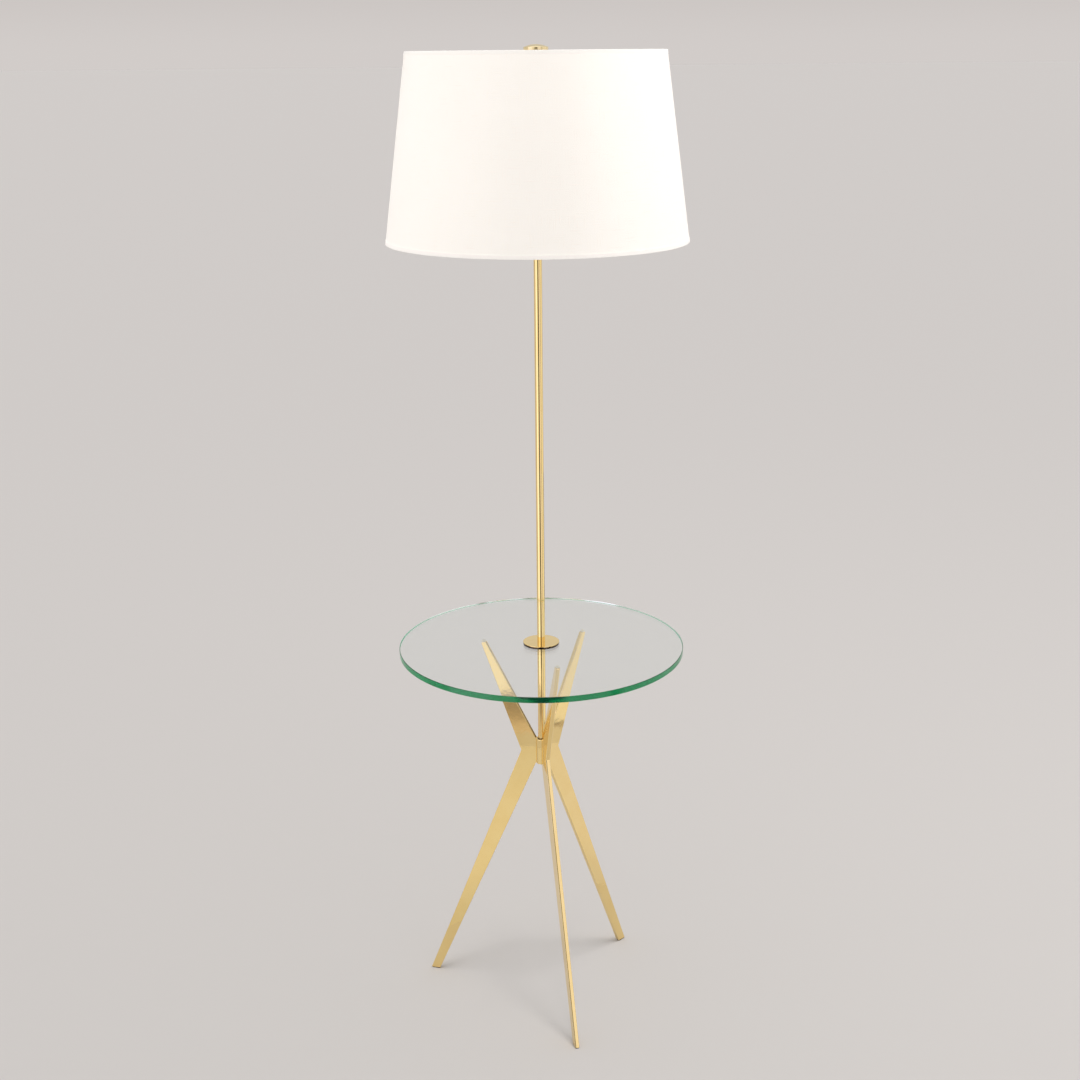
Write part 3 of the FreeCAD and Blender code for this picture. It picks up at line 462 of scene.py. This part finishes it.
def makeMoulded(name, color, darkColor, roughness, grain, coat=0.0):
    # moulded rubber, card and plastic: a mottled tone, fine grain and a little dust
    material, tree, shader = newSurface(name, {"Metallic": 0.0, "Coat Weight": coat, "Coat Roughness": 0.1})
    vector = objectPlace(tree)
    marks = place(tree, handlingMarks, vector, size=0.008, softness=0.25)["Mask"]
    dust = place(tree, settledDust, vector, amount=0.2)["Mask"]
    color = blendColor(tree, marks, color, darkColor)
    tree.links.new(blendColor(tree, dust, color, (0.5, 0.48, 0.45)), shader.inputs["Base Color"])
    tree.links.new(spread(tree, marks, 0.0, 1.0, roughness[0], roughness[1]), shader.inputs["Roughness"])
    noise = addNode(tree, "ShaderNodeTexNoise")
    noise.inputs["Scale"].default_value = 2600.0
    noise.inputs["Detail"].default_value = 3.0
    tree.links.new(vector, noise.inputs["Vector"])
    bumpFrom(tree, noise.outputs["Fac"], grain, 0.5, shader)
    return material


def makePlated(name, color, roughness, spacing):
    # plated steel and rolled aluminium: fine lines and a cloudy plating
    material, tree, shader = newSurface(name, {"Metallic": 1.0})
    vector = objectPlace(tree)
    marks = place(tree, handlingMarks, vector, size=0.005, softness=0.2)["Mask"]
    lines = place(tree, drawnLines, vector, spacing=spacing, length=0.01)["Height"]
    darker = tuple(0.8 * part for part in color)
    tree.links.new(blendColor(tree, marks, color, darker), shader.inputs["Base Color"])
    tree.links.new(spread(tree, marks, 0.0, 1.0, roughness[0], roughness[1]), shader.inputs["Roughness"])
    bumpFrom(tree, lines, 0.00001, 0.5, shader)
    return material


bulbLook = {
    "neckHeight": 1.36, "frostHeight": 1.40,        # the frost grows full between them
    "neckColor": (0.74, 0.73, 0.70), "frostColor": (0.93, 0.925, 0.91),
    "cloudColor": (0.82, 0.82, 0.80), "cloudShare": 0.12,
    "roughness": (0.3, 0.42),
}


def makeBulbGlass():
    # frosted white, thinner and a little clearer towards the neck
    material, tree, shader = newSurface("bulbGlass", {
        "IOR": 1.5, "Coat Weight": 0.5, "Coat Roughness": 0.08})
    look = bulbLook
    vector = objectPlace(tree)
    height = axes(tree, vector)[2]
    frost = spread(tree, height, look["neckHeight"], look["frostHeight"])
    cloud = place(tree, handlingMarks, vector, size=0.012, softness=0.3)["Mask"]
    color = blendColor(tree, frost, look["neckColor"], look["frostColor"])
    color = blendColor(tree, calc(tree, "MULTIPLY", cloud, look["cloudShare"]), color, look["cloudColor"])
    tree.links.new(color, shader.inputs["Base Color"])
    tree.links.new(spread(tree, cloud, 0.0, 1.0, look["roughness"][0], look["roughness"][1]),
                   shader.inputs["Roughness"])
    return material


glassFinish = makeTableGlass()
clearPlastic = makeClearPlastic()
glideRubber = makeMoulded("glideRubber", (0.045, 0.044, 0.042), (0.028, 0.027, 0.026), (0.6, 0.8), 0.00006)
blackPhenolic = makeMoulded("blackPhenolic", (0.030, 0.026, 0.023), (0.018, 0.015, 0.013), (0.2, 0.34),
                            0.000012, 0.3)
gasketRubber = makeMoulded("gasketRubber", (0.020, 0.020, 0.019), (0.012, 0.012, 0.012), (0.34, 0.5), 0.00002)
pressedCard = makeMoulded("pressedCard", (0.46, 0.35, 0.21), (0.38, 0.28, 0.16), (0.7, 0.85), 0.00005)
linerSheet = makeMoulded("linerSheet", (0.90, 0.895, 0.875), (0.86, 0.85, 0.825), (0.42, 0.55), 0.00002)
zincSteel = makePlated("zincSteel", (0.60, 0.60, 0.585), (0.28, 0.42), 0.0003)
bulbMetal = makePlated("bulbMetal", (0.80, 0.79, 0.775), (0.2, 0.32), 0.0004)
bulbGlass = makeBulbGlass()
print("glass, plastic and plated finishes built")


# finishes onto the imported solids
wearers = (
    (legBrass["leg_front"], "leg_front"),
    (legBrass["leg_right"], "leg_right"),
    (legBrass["leg_left"], "leg_left"),
    (tubeBrass, "hub_sleeve lower_stem upper_stem"),
    (collarBrass, "table_collar"),
    (finialBrass, "finial"),
    (turnedBrass, "check_ring"),
    (headBrass, "stem_coupler socket_cap socket_shell terminal_screws screw_shell centre_contact"),
    (headBrass, "harp_saddle harp_bow harp_ferrule_left harp_ferrule_right"),
    (headBrass, "spider_washer spider_arm_back spider_arm_left spider_arm_right top_ring bottom_ring"),
    (studBrass, "harp_stud"),
    (glassFinish, "glass_top"),
    (gasketRubber, "glass_bushing"),
    (clearPlastic, "glass_bumper_front glass_bumper_right glass_bumper_left"),
    (glideRubber, "foot_glide_front foot_glide_right foot_glide_left"),
    (blackPhenolic, "cord_bushing socket_body switch_knob bulb_insulator"),
    (pressedCard, "paper_liner"),
    (linerSheet, "shade_liner"),
    (zincSteel, "stem_nipple lock_nut lock_washer cap_screw switch_shaft"),
    (bulbMetal, "bulb_base bulb_contact"),
    (bulbGlass, "bulb_globe"),
)
for finish, names in wearers:
    for nodeName in names.split():
        slots = nodes[nodeName].material_slots
        if len(slots) == 0:
            nodes[nodeName].data.materials.append(finish)
        for slot in slots:
            slot.material = finish
print("finishes on the packed solids")


# linen shade
shadeCloth = {
    "bottom": 1.2680, "height": 0.2735,
    "bottomRadius": 0.2274, "topRadius": 0.1910,
    "thickness": 0.00045,
    "around": 240, "rows": 14,
    "waver": 0.00022,              # how far the cloth wanders out from a true cone
    "flat": (1.388, 0.3985), "flatArea": 0.3627,
    "seamWidth": 0.011, "seamThickness": 0.0004, "seamStand": 0.0001, "seamAngle": 90.0,
    "color": (0.935, 0.925, 0.905), "slubColor": (0.87, 0.85, 0.815), "cloudColor": (0.90, 0.885, 0.86),
    # the warm tint of the cloth's painted glow
    "glowColor": (1.0, 0.76, 0.50, 1.0),
}
hemTape = {
    "height": 0.005, "thickness": 0.00035, "stand": 0.0001,
    "skin": 0.0005 + 0.0007,       # cloth and liner between the two sides of the fold
    "fold": 5, "foldDrop": 0.00012,
    "around": 240,
}


def coneRadius(height):
    look = shadeCloth
    share = (height - look["bottom"]) / look["height"]
    return look["bottomRadius"] + (look["topRadius"] - look["bottomRadius"]) * share


def deselectAll():
    if bpy.context.object and bpy.context.object.mode == "EDIT":
        bpy.ops.object.mode_set(mode="OBJECT")
    bpy.ops.object.select_all(action="DESELECT")


def finishObject(piece, name, material, body, smoothAngle=40.0):
    # names the piece, gives it its finish, and lets it ride on its body
    deselectAll()
    piece.name = name
    piece.data.name = name
    piece.select_set(True)
    bpy.context.view_layer.objects.active = piece
    bpy.ops.object.transform_apply(location=True, rotation=True, scale=True)
    bpy.ops.object.shade_smooth_by_angle(angle=math.radians(smoothAngle))
    piece.data.materials.clear()
    piece.data.materials.append(material)
    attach(piece, body)
    return piece


def ringTo(radius, height, oldRadius, oldHeight):
    # extrudes the selected ring of edges to a new radius and height
    bpy.ops.mesh.extrude_region_move(TRANSFORM_OT_translate={"value": (0, 0, height - oldHeight)})
    if abs(radius - oldRadius) > 1e-9:
        scale = radius / oldRadius
        bpy.ops.transform.resize(value=(scale, scale, 1.0), center_override=(0, 0, height))


def turnedSheet(profile, around):
    # a sheet made by extruding one ring of edges along a profile of radii and heights
    deselectAll()
    bpy.ops.mesh.primitive_circle_add(vertices=around, radius=profile[0][0], location=(0, 0, profile[0][1]))
    piece = bpy.context.object
    bpy.ops.object.mode_set(mode="EDIT")
    bpy.ops.mesh.select_all(action="SELECT")
    for old, new in zip(profile, profile[1:]):
        ringTo(new[0], new[1], old[0], old[1])
    bpy.ops.object.mode_set(mode="OBJECT")
    bpy.ops.object.transform_apply(location=True, rotation=True, scale=True)
    return piece


def facesOutward(piece):
    # the first face has to point away from the stem's axis; if it doesn't, all are turned over
    bm = bmesh.new()
    bm.from_mesh(piece.data)
    bm.faces.ensure_lookup_table()
    bm.normal_update()
    first = bm.faces[0]
    middle = first.calc_center_median()
    if first.normal.x * middle.x + first.normal.y * middle.y < 0:
        bmesh.ops.reverse_faces(bm, faces=bm.faces)
    bm.to_mesh(piece.data)
    bm.free()


def unrollOntoFlat(piece, meanRadius):
    # UVs in metres: round the cone, and up its height
    mesh = piece.data
    layer = mesh.uv_layers.new(name="flatCut")
    start = math.radians(shadeCloth["seamAngle"])
    for face in mesh.polygons:
        turns = []
        for index in face.loop_indices:
            point = mesh.vertices[mesh.loops[index].vertex_index].co
            turns.append((math.atan2(point.y, point.x) - start) % (2 * math.pi))
        if max(turns) - min(turns) > math.pi:
            turns = [turn + 2 * math.pi if turn < math.pi else turn for turn in turns]
        for index, turn in zip(face.loop_indices, turns):
            point = mesh.vertices[mesh.loops[index].vertex_index].co
            layer.data[index].uv = (turn * meanRadius, point.z)


def addSolidify(piece, thickness, offset):
    bpy.context.view_layer.objects.active = piece
    modifier = piece.modifiers.new("thickness", "SOLIDIFY")
    modifier.thickness = thickness
    modifier.offset = offset
    modifier.use_even_offset = True
    bpy.ops.object.modifier_apply(modifier=modifier.name)


def makeLinen(name, pitch, depth, glow):
    # fine plain weave, matt, with a faint painted glow that stands in for the light coming through it
    material, tree, shader = newSurface(name, {
        "Roughness": 0.85, "Sheen Weight": 0.25, "Sheen Roughness": 0.5, "Specular IOR Level": 0.25,
        "Emission Strength": glow})
    cut = addNode(tree, "ShaderNodeUVMap", uv_map="flatCut").outputs[0]
    weave = place(tree, plainWeave, cut, pitch=pitch)
    clouds = place(tree, handlingMarks, objectPlace(tree), size=0.09, softness=0.3)["Mask"]
    look = shadeCloth
    color = blendColor(tree, calc(tree, "MULTIPLY", weave["Slub"], 0.5), look["color"], look["slubColor"])
    color = blendColor(tree, calc(tree, "MULTIPLY", clouds, 0.35), color, look["cloudColor"])
    tree.links.new(color, shader.inputs["Base Color"])
    shader.inputs["Emission Color"].default_value = look["glowColor"]
    bumpFrom(tree, weave["Height"], depth, 0.7, shader)
    return material


def buildShadeCloth():
    look = shadeCloth
    profile = []
    for row in range(look["rows"] + 1):
        height = look["bottom"] + look["height"] * row / look["rows"]
        profile.append((coneRadius(height), height))
    cloth = turnedSheet(profile, look["around"])
    for vertex in cloth.data.vertices:
        turn = math.atan2(vertex.co.y, vertex.co.x)
        rise = (vertex.co.z - look["bottom"]) / look["height"]
        wander = math.sin(3 * turn + 1.1) * math.sin(5.2 * rise + 0.4) + 0.6 * math.sin(7 * turn + 2.4 * rise)
        reach = look["waver"] * (0.5 + 0.3 * wander) * math.sin(math.pi * rise)
        scale = 1 + reach / coneRadius(vertex.co.z)
        vertex.co.x *= scale
        vertex.co.y *= scale
    facesOutward(cloth)
    unrollOntoFlat(cloth, 0.5 * (look["bottomRadius"] + look["topRadius"]))
    addSolidify(cloth, look["thickness"], -1.0)
    return cloth


def hemProfile(edge, inward):
    # down the outside, round the fold and up the inside again
    tape = hemTape
    skin = tape["skin"]
    stand = tape["stand"]
    half = 0.5 * (skin + 2 * stand)
    rim = edge + inward * tape["height"]
    points = [(coneRadius(rim) + stand, rim), (coneRadius(edge) + stand, edge)]
    centre = coneRadius(edge) + stand - half
    for step in range(1, tape["fold"]):
        turn = math.pi * step / tape["fold"]
        drop = tape["foldDrop"] * math.sin(turn)
        points.append((centre + half * math.cos(turn), edge - inward * drop))
    points.append((coneRadius(edge) - skin - stand, edge))
    points.append((coneRadius(rim) - skin - stand, rim))
    return points


def buildHem(name, edge, inward):
    tape = turnedSheet(hemProfile(edge, inward), hemTape["around"])
    facesOutward(tape)
    unrollOntoFlat(tape, coneRadius(edge))
    addSolidify(tape, hemTape["thickness"], 1.0)
    return finishObject(tape, name, hemLinen, "shade", 50.0)


def buildSeam():
    # the cloth's overlap, glued down the back of the shade from hem to hem
    look = shadeCloth
    low = look["bottom"] + hemTape["height"]
    high = look["bottom"] + look["height"] - hemTape["height"]
    deselectAll()
    bpy.ops.mesh.primitive_grid_add(x_subdivisions=4, y_subdivisions=10, size=1.0)
    strip = bpy.context.object
    middleTurn = math.radians(look["seamAngle"])
    for vertex in strip.data.vertices:
        height = low + (vertex.co.y + 0.5) * (high - low)
        radius = coneRadius(height) + look["seamStand"] + look["waver"]
        turn = middleTurn + vertex.co.x * look["seamWidth"] / radius
        vertex.co = Vector((radius * math.cos(turn), radius * math.sin(turn), height))
    facesOutward(strip)
    unrollOntoFlat(strip, 0.5 * (look["bottomRadius"] + look["topRadius"]))
    addSolidify(strip, look["seamThickness"], 1.0)
    return finishObject(strip, "shadeSeam", shadeLinen, "shade", 50.0)


shadeLinen = makeLinen("shadeLinen", 0.0007, 0.00018, 0.11)
hemLinen = makeLinen("hemLinen", 0.0005, 0.00014, 0.07)
shadeTop = shadeCloth["bottom"] + shadeCloth["height"]
cloth = finishObject(buildShadeCloth(), "shadeCloth", shadeLinen, "shade")
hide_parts("shade_fabric")
seam = buildSeam()
topHem = buildHem("topHem", shadeTop, -1)
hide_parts("top_hem")
bottomHem = buildHem("bottomHem", shadeCloth["bottom"], 1)
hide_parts("bottom_hem")
print("shade built")


# the joint between the sleeve and the stem
sleeveJoint = {
    # radius and height down the fillet that the braze leaves, coloured dark as painted shade in the corner
    # between sleeve and stem
    "profile": ((0.00650, 0.45960), (0.00665, 0.45895), (0.00705, 0.45850), (0.00775, 0.45825)),
    "around": 48, "thickness": 0.00014,
    "color": (0.16, 0.10, 0.05), "brightColor": (0.42, 0.29, 0.12),
}


def makeJointFinish():
    look = sleeveJoint
    # dark with lighter patches: painted shade for the joint's corner
    material, tree, shader = newSurface("paintedShadeBraze", {"Metallic": 1.0})
    vector = objectPlace(tree)
    marks = place(tree, handlingMarks, vector, size=0.0025, softness=0.18)["Mask"]
    tree.links.new(blendColor(tree, marks, look["color"], look["brightColor"]), shader.inputs["Base Color"])
    tree.links.new(spread(tree, marks, 0.0, 1.0, 0.38, 0.6), shader.inputs["Roughness"])
    return material


fillet = turnedSheet(sleeveJoint["profile"], sleeveJoint["around"])
facesOutward(fillet)
addSolidify(fillet, sleeveJoint["thickness"], 1.0)
finishObject(fillet, "sleeveJoint", makeJointFinish(), "stand", 60.0)
print("joint built")


# studio
studio = {
    "floorSize": 600.0,
    "nearColor": (0.600, 0.577, 0.563),     # paper round the lamp
    # awayColor and awayGlow are painted light: the ground is brightened away from the lamp to even out its
    # fall-off
    "awayColor": (0.800, 0.765, 0.745),     # lighter ground beyond it
    "awayGlow": 0.120,                      # light that the lamps here don't bring out to it
    "glowColor": (1.0, 0.955, 0.925),
    "poolCentre": (-0.2, -0.60), "lampHeight": 4.0,
    "horizonColor": (0.642, 0.605, 0.586), "upperColor": (0.590, 0.552, 0.533),     # past the floor
    "domeColor": (0.640, 0.634, 0.630),
    # brightness that reflections find from the horizon, 0, up to the zenith, 1
    "ceiling": ((0.0, 0.62), (0.12, 0.64), (0.35, 0.72), (0.6, 0.56), (0.85, 1.15), (1.0, 1.3)),
    "cameraTurn": 255.05,                   # degrees round the stem to the camera
}


def makeFloor():
    look = studio
    deselectAll()
    bpy.ops.mesh.primitive_plane_add(size=look["floorSize"], location=(0, 0, 0))
    floor = bpy.context.object
    floor.name = "studioFloor"
    material, tree, shader = newSurface("paperFloor", {"Roughness": 0.95, "Specular IOR Level": 0.05})
    x, y, z = axes(tree, objectPlace(tree))
    along = calc(tree, "SUBTRACT", x, look["poolCentre"][0])
    across = calc(tree, "SUBTRACT", y, look["poolCentre"][1])
    square = calc(tree, "ADD", calc(tree, "MULTIPLY", along, along), calc(tree, "MULTIPLY", across, across))
    # makes up for how the overhead lamp's light falls off
    fall = calc(tree, "ADD", 1.0, calc(tree, "DIVIDE", square, look["lampHeight"] ** 2))
    away = calc(tree, "SUBTRACT", 1.0, calc(tree, "DIVIDE", 1.0, calc(tree, "MULTIPLY", fall, fall)))
    tree.links.new(blendColor(tree, away, look["nearColor"], look["awayColor"]), shader.inputs["Base Color"])
    glow = blendColor(tree, away, (0.0, 0.0, 0.0), look["glowColor"])
    tree.links.new(glow, shader.inputs["Emission Color"])
    shader.inputs["Emission Strength"].default_value = look["awayGlow"]
    floor.data.materials.append(material)


def makeWorld():
    # even light on matt surfaces, a plain tone behind the floor, and in reflections a lit ceiling
    world = bpy.data.worlds.new("studioAir")
    scene.world = world
    world.use_nodes = True
    tree = world.node_tree
    background = tree.nodes["Background"]
    rays = addNode(tree, "ShaderNodeLightPath")
    height = axes(tree, addNode(tree, "ShaderNodeTexCoord").outputs["Generated"])[2]
    ramp = addNode(tree, "ShaderNodeValToRGB")
    tree.links.new(height, ramp.inputs[0])
    stops = studio["ceiling"]
    while len(ramp.color_ramp.elements) < len(stops):
        ramp.color_ramp.elements.new(0.5)
    for element, (position, value) in zip(ramp.color_ramp.elements, stops):
        element.position = position
        element.color = (value, value * 0.975, value * 0.95, 1.0)
    seen = calc(tree, "MAXIMUM", rays.outputs["Is Camera Ray"], rays.outputs["Is Transmission Ray"])
    color = blendColor(tree, rays.outputs["Is Glossy Ray"], studio["domeColor"], ramp.outputs[0])
    past = blendColor(tree, spread(tree, height, 0.0, 0.05), studio["horizonColor"], studio["upperColor"])
    color = blendColor(tree, seen, color, past)
    tree.links.new(color, background.inputs["Color"])
    background.inputs["Strength"].default_value = 1.0


cards = {
    # degrees to the right of the camera as seen from the stem, bottom, top, distance,
    # brightness at the floor, above it and at the top, colour
    "softboxLeft": (-72.0, -37.0, 0.0, 3.0, 1.35, (1.45, 1.45, 1.45), (1.0, 0.94, 1.07)),
    "softboxEdge": (-37.0, -19.0, 0.0, 3.0, 1.30, (1.08, 1.08, 1.08), (1.0, 0.975, 0.96)),
    "gapByLens": (-10.0, 14.0, 0.0, 3.0, 1.45, (0.08, 0.08, 0.08), (1.0, 0.9, 0.8)),
    "wallRight": (17.0, 62.0, 0.0, 2.8, 1.30, (1.0, 1.0, 1.0), (0.98, 0.95, 1.03)),
    "gapRight": (51.0, 60.0, 0.0, 2.8, 1.26, (0.20, 0.20, 0.20), (1.0, 0.8, 0.6)),
    "wallSide": (60.0, 116.0, 0.0, 2.8, 1.14, (0.90, 0.90, 0.90), (1.0, 0.975, 0.96)),
    "doorRight": (128.0, 148.0, 0.25, 0.60, 1.20, (0.10, 0.10, 0.10), (1.0, 0.8, 0.6)),
    "fillLeft": (-80.0, -20.0, 0.0, 0.33, 0.26, (0.67, 0.80, 0.73), (1.0, 0.96, 0.91)),
    "fillRight": (55.0, 120.0, 0.0, 0.29, 0.36, (0.69, 0.80, 0.79), (1.0, 0.96, 0.96)),
}
floorBands = {
    # the paper's end as reflections see it: degrees, inner and outer distance, brightness there
    "bandLeft": (-62.0, 16.0, 1.07, 1.35, (0.68, 0.33)),
    "bandSide": (60.0, 116.0, 1.10, 1.13, (0.55, 0.25)),
}
bandColor = (1.0, 0.85, 0.74)
bandFade = 0.6                  # share of a band's width over which it darkens
cardBlend = (0.12, 0.13)        # height of the change of brightness at a card's foot and at its top


def showInReflections(board, color, strengthFrom):
    # the board lights nothing and shows only in reflections, not to a look straight through the table
    material = bpy.data.materials.new(board.name)
    material.use_nodes = True
    tree = material.node_tree
    tree.nodes.remove(tree.nodes["Principled BSDF"])
    light = addNode(tree, "ShaderNodeEmission")
    light.inputs["Color"].default_value = color + (1.0,)
    tree.links.new(strengthFrom(tree, *axes(tree, objectPlace(tree))), light.inputs["Strength"])
    rays = addNode(tree, "ShaderNodeLightPath")
    mirrored = calc(tree, "GREATER_THAN", rays.outputs["Glossy Depth"], 0.5)
    mix = addNode(tree, "ShaderNodeMixShader")
    tree.links.new(mirrored, mix.inputs[0])
    tree.links.new(addNode(tree, "ShaderNodeBsdfTransparent").outputs[0], mix.inputs[1])
    tree.links.new(light.outputs[0], mix.inputs[2])
    tree.links.new(mix.outputs[0], tree.nodes["Material Output"].inputs["Surface"])
    board.data.materials.append(material)
    board.visible_camera = False
    board.visible_diffuse = False
    board.visible_volume_scatter = False
    board.visible_shadow = False


def curvedGrid(name, turnFrom, turnTo, start, end):
    # grid bent round the stem; start and end are the distance and height of its two long sides
    deselectAll()
    bpy.ops.mesh.primitive_grid_add(x_subdivisions=16, y_subdivisions=1, size=1.0)
    board = bpy.context.object
    board.name = name
    for vertex in board.data.vertices:
        turn = math.radians(studio["cameraTurn"] + turnFrom + (vertex.co.x + 0.5) * (turnTo - turnFrom))
        share = vertex.co.y + 0.5
        distance = start[0] + share * (end[0] - start[0])
        height = start[1] + share * (end[1] - start[1])
        vertex.co = Vector((distance * math.cos(turn), distance * math.sin(turn), height))
    return board


def makeCard(name, turnFrom, turnTo, bottom, top, distance, glow, color):
    board = curvedGrid(name, turnFrom, turnTo, (distance, bottom), (distance, top))

    def byHeight(tree, x, y, z):
        lower = spread(tree, z, 0.0, cardBlend[0], glow[0], glow[1])
        return calc(tree, "ADD", lower, spread(tree, z, top - cardBlend[1], top, 0.0, glow[2] - glow[1]))

    showInReflections(board, color, byHeight)


def makeFloorBand(name, turnFrom, turnTo, inner, outer, glow):
    board = curvedGrid(name, turnFrom, turnTo, (inner, 0.002), (outer, 0.002))

    def byReach(tree, x, y, z):
        return spread(tree, fromAxis(tree, x, y), inner, inner + bandFade * (outer - inner), glow[0], glow[1])

    showInReflections(board, bandColor, byReach)


lamps = {
    # place, aimed at, width, height, watts, degrees that its light spreads over
    "overhead": ((0.20, -0.60, 4.0), (0.20, -0.60, 0.0), 1.2, 1.2, 48.0, 150.0),
    "sideLeft": ((-2.6, 0.1, 1.7), (0.0, 0.0, 1.40), 0.7, 0.9, 1.3, 40.0),
    "sideRight": ((2.4, -1.0, 1.7), (0.0, 0.0, 1.40), 0.7, 0.9, 1.05, 40.0),
}
lampColor = (1.0, 0.985, 0.965)


def makeLamp(name, spot, target, width, height, watts, degrees):
    data = bpy.data.lights.new(name, "AREA")
    data.shape = "RECTANGLE"
    data.size = width
    data.size_y = height
    data.energy = watts
    data.spread = math.radians(degrees)
    data.color = lampColor
    lamp = bpy.data.objects.new(name, data)
    scene.collection.objects.link(lamp)
    lamp.location = spot
    lamp.rotation_euler = (Vector(target) - Vector(spot)).to_track_quat("-Z", "Y").to_euler()
    lamp.visible_camera = False
    lamp.visible_glossy = False
    lamp.visible_transmission = False
    return lamp


def castOnlyFrom(lamp, names):
    # the lamp's shadows come from these solids alone; the shade and the glass let it by
    blockers = bpy.data.collections.new(lamp.name + "Blockers")
    for name in names:
        blockers.objects.link(nodes[name])
    lamp.light_linking.blocker_collection = blockers


cameraView = {
    "lens": 53.517, "sensor": 36.0,
    "spot": (-0.6293, -2.3550, 1.5378), "turns": (73.1293, 0.5044, -15.1030),
}


def makeCamera():
    data = bpy.data.cameras.new("camera")
    data.lens = cameraView["lens"]
    data.sensor_width = cameraView["sensor"]
    data.clip_start = 0.05
    data.clip_end = 200.0
    camera = bpy.data.objects.new("camera", data)
    scene.collection.objects.link(camera)
    camera.location = cameraView["spot"]
    camera.rotation_euler = [math.radians(turn) for turn in cameraView["turns"]]
    scene.camera = camera


makeFloor()
makeWorld()
for cardName, card in cards.items():
    makeCard(cardName, *card)
for bandName, band in floorBands.items():
    makeFloorBand(bandName, *band)
for lampName, lamp in lamps.items():
    made = makeLamp(lampName, *lamp)
    if lampName == "overhead":
        castOnlyFrom(made, ["leg_front", "leg_right", "leg_left", "hub_sleeve", "foot_glide_front",
                            "foot_glide_right", "foot_glide_left"])
makeCamera()
scene.view_settings.view_transform = "Standard"
rimBounces = 40                 # the table's rim turns black with fewer
scene.cycles.max_bounces = rimBounces
scene.cycles.transmission_bounces = rimBounces
scene.cycles.glossy_bounces = rimBounces
print("studio built")
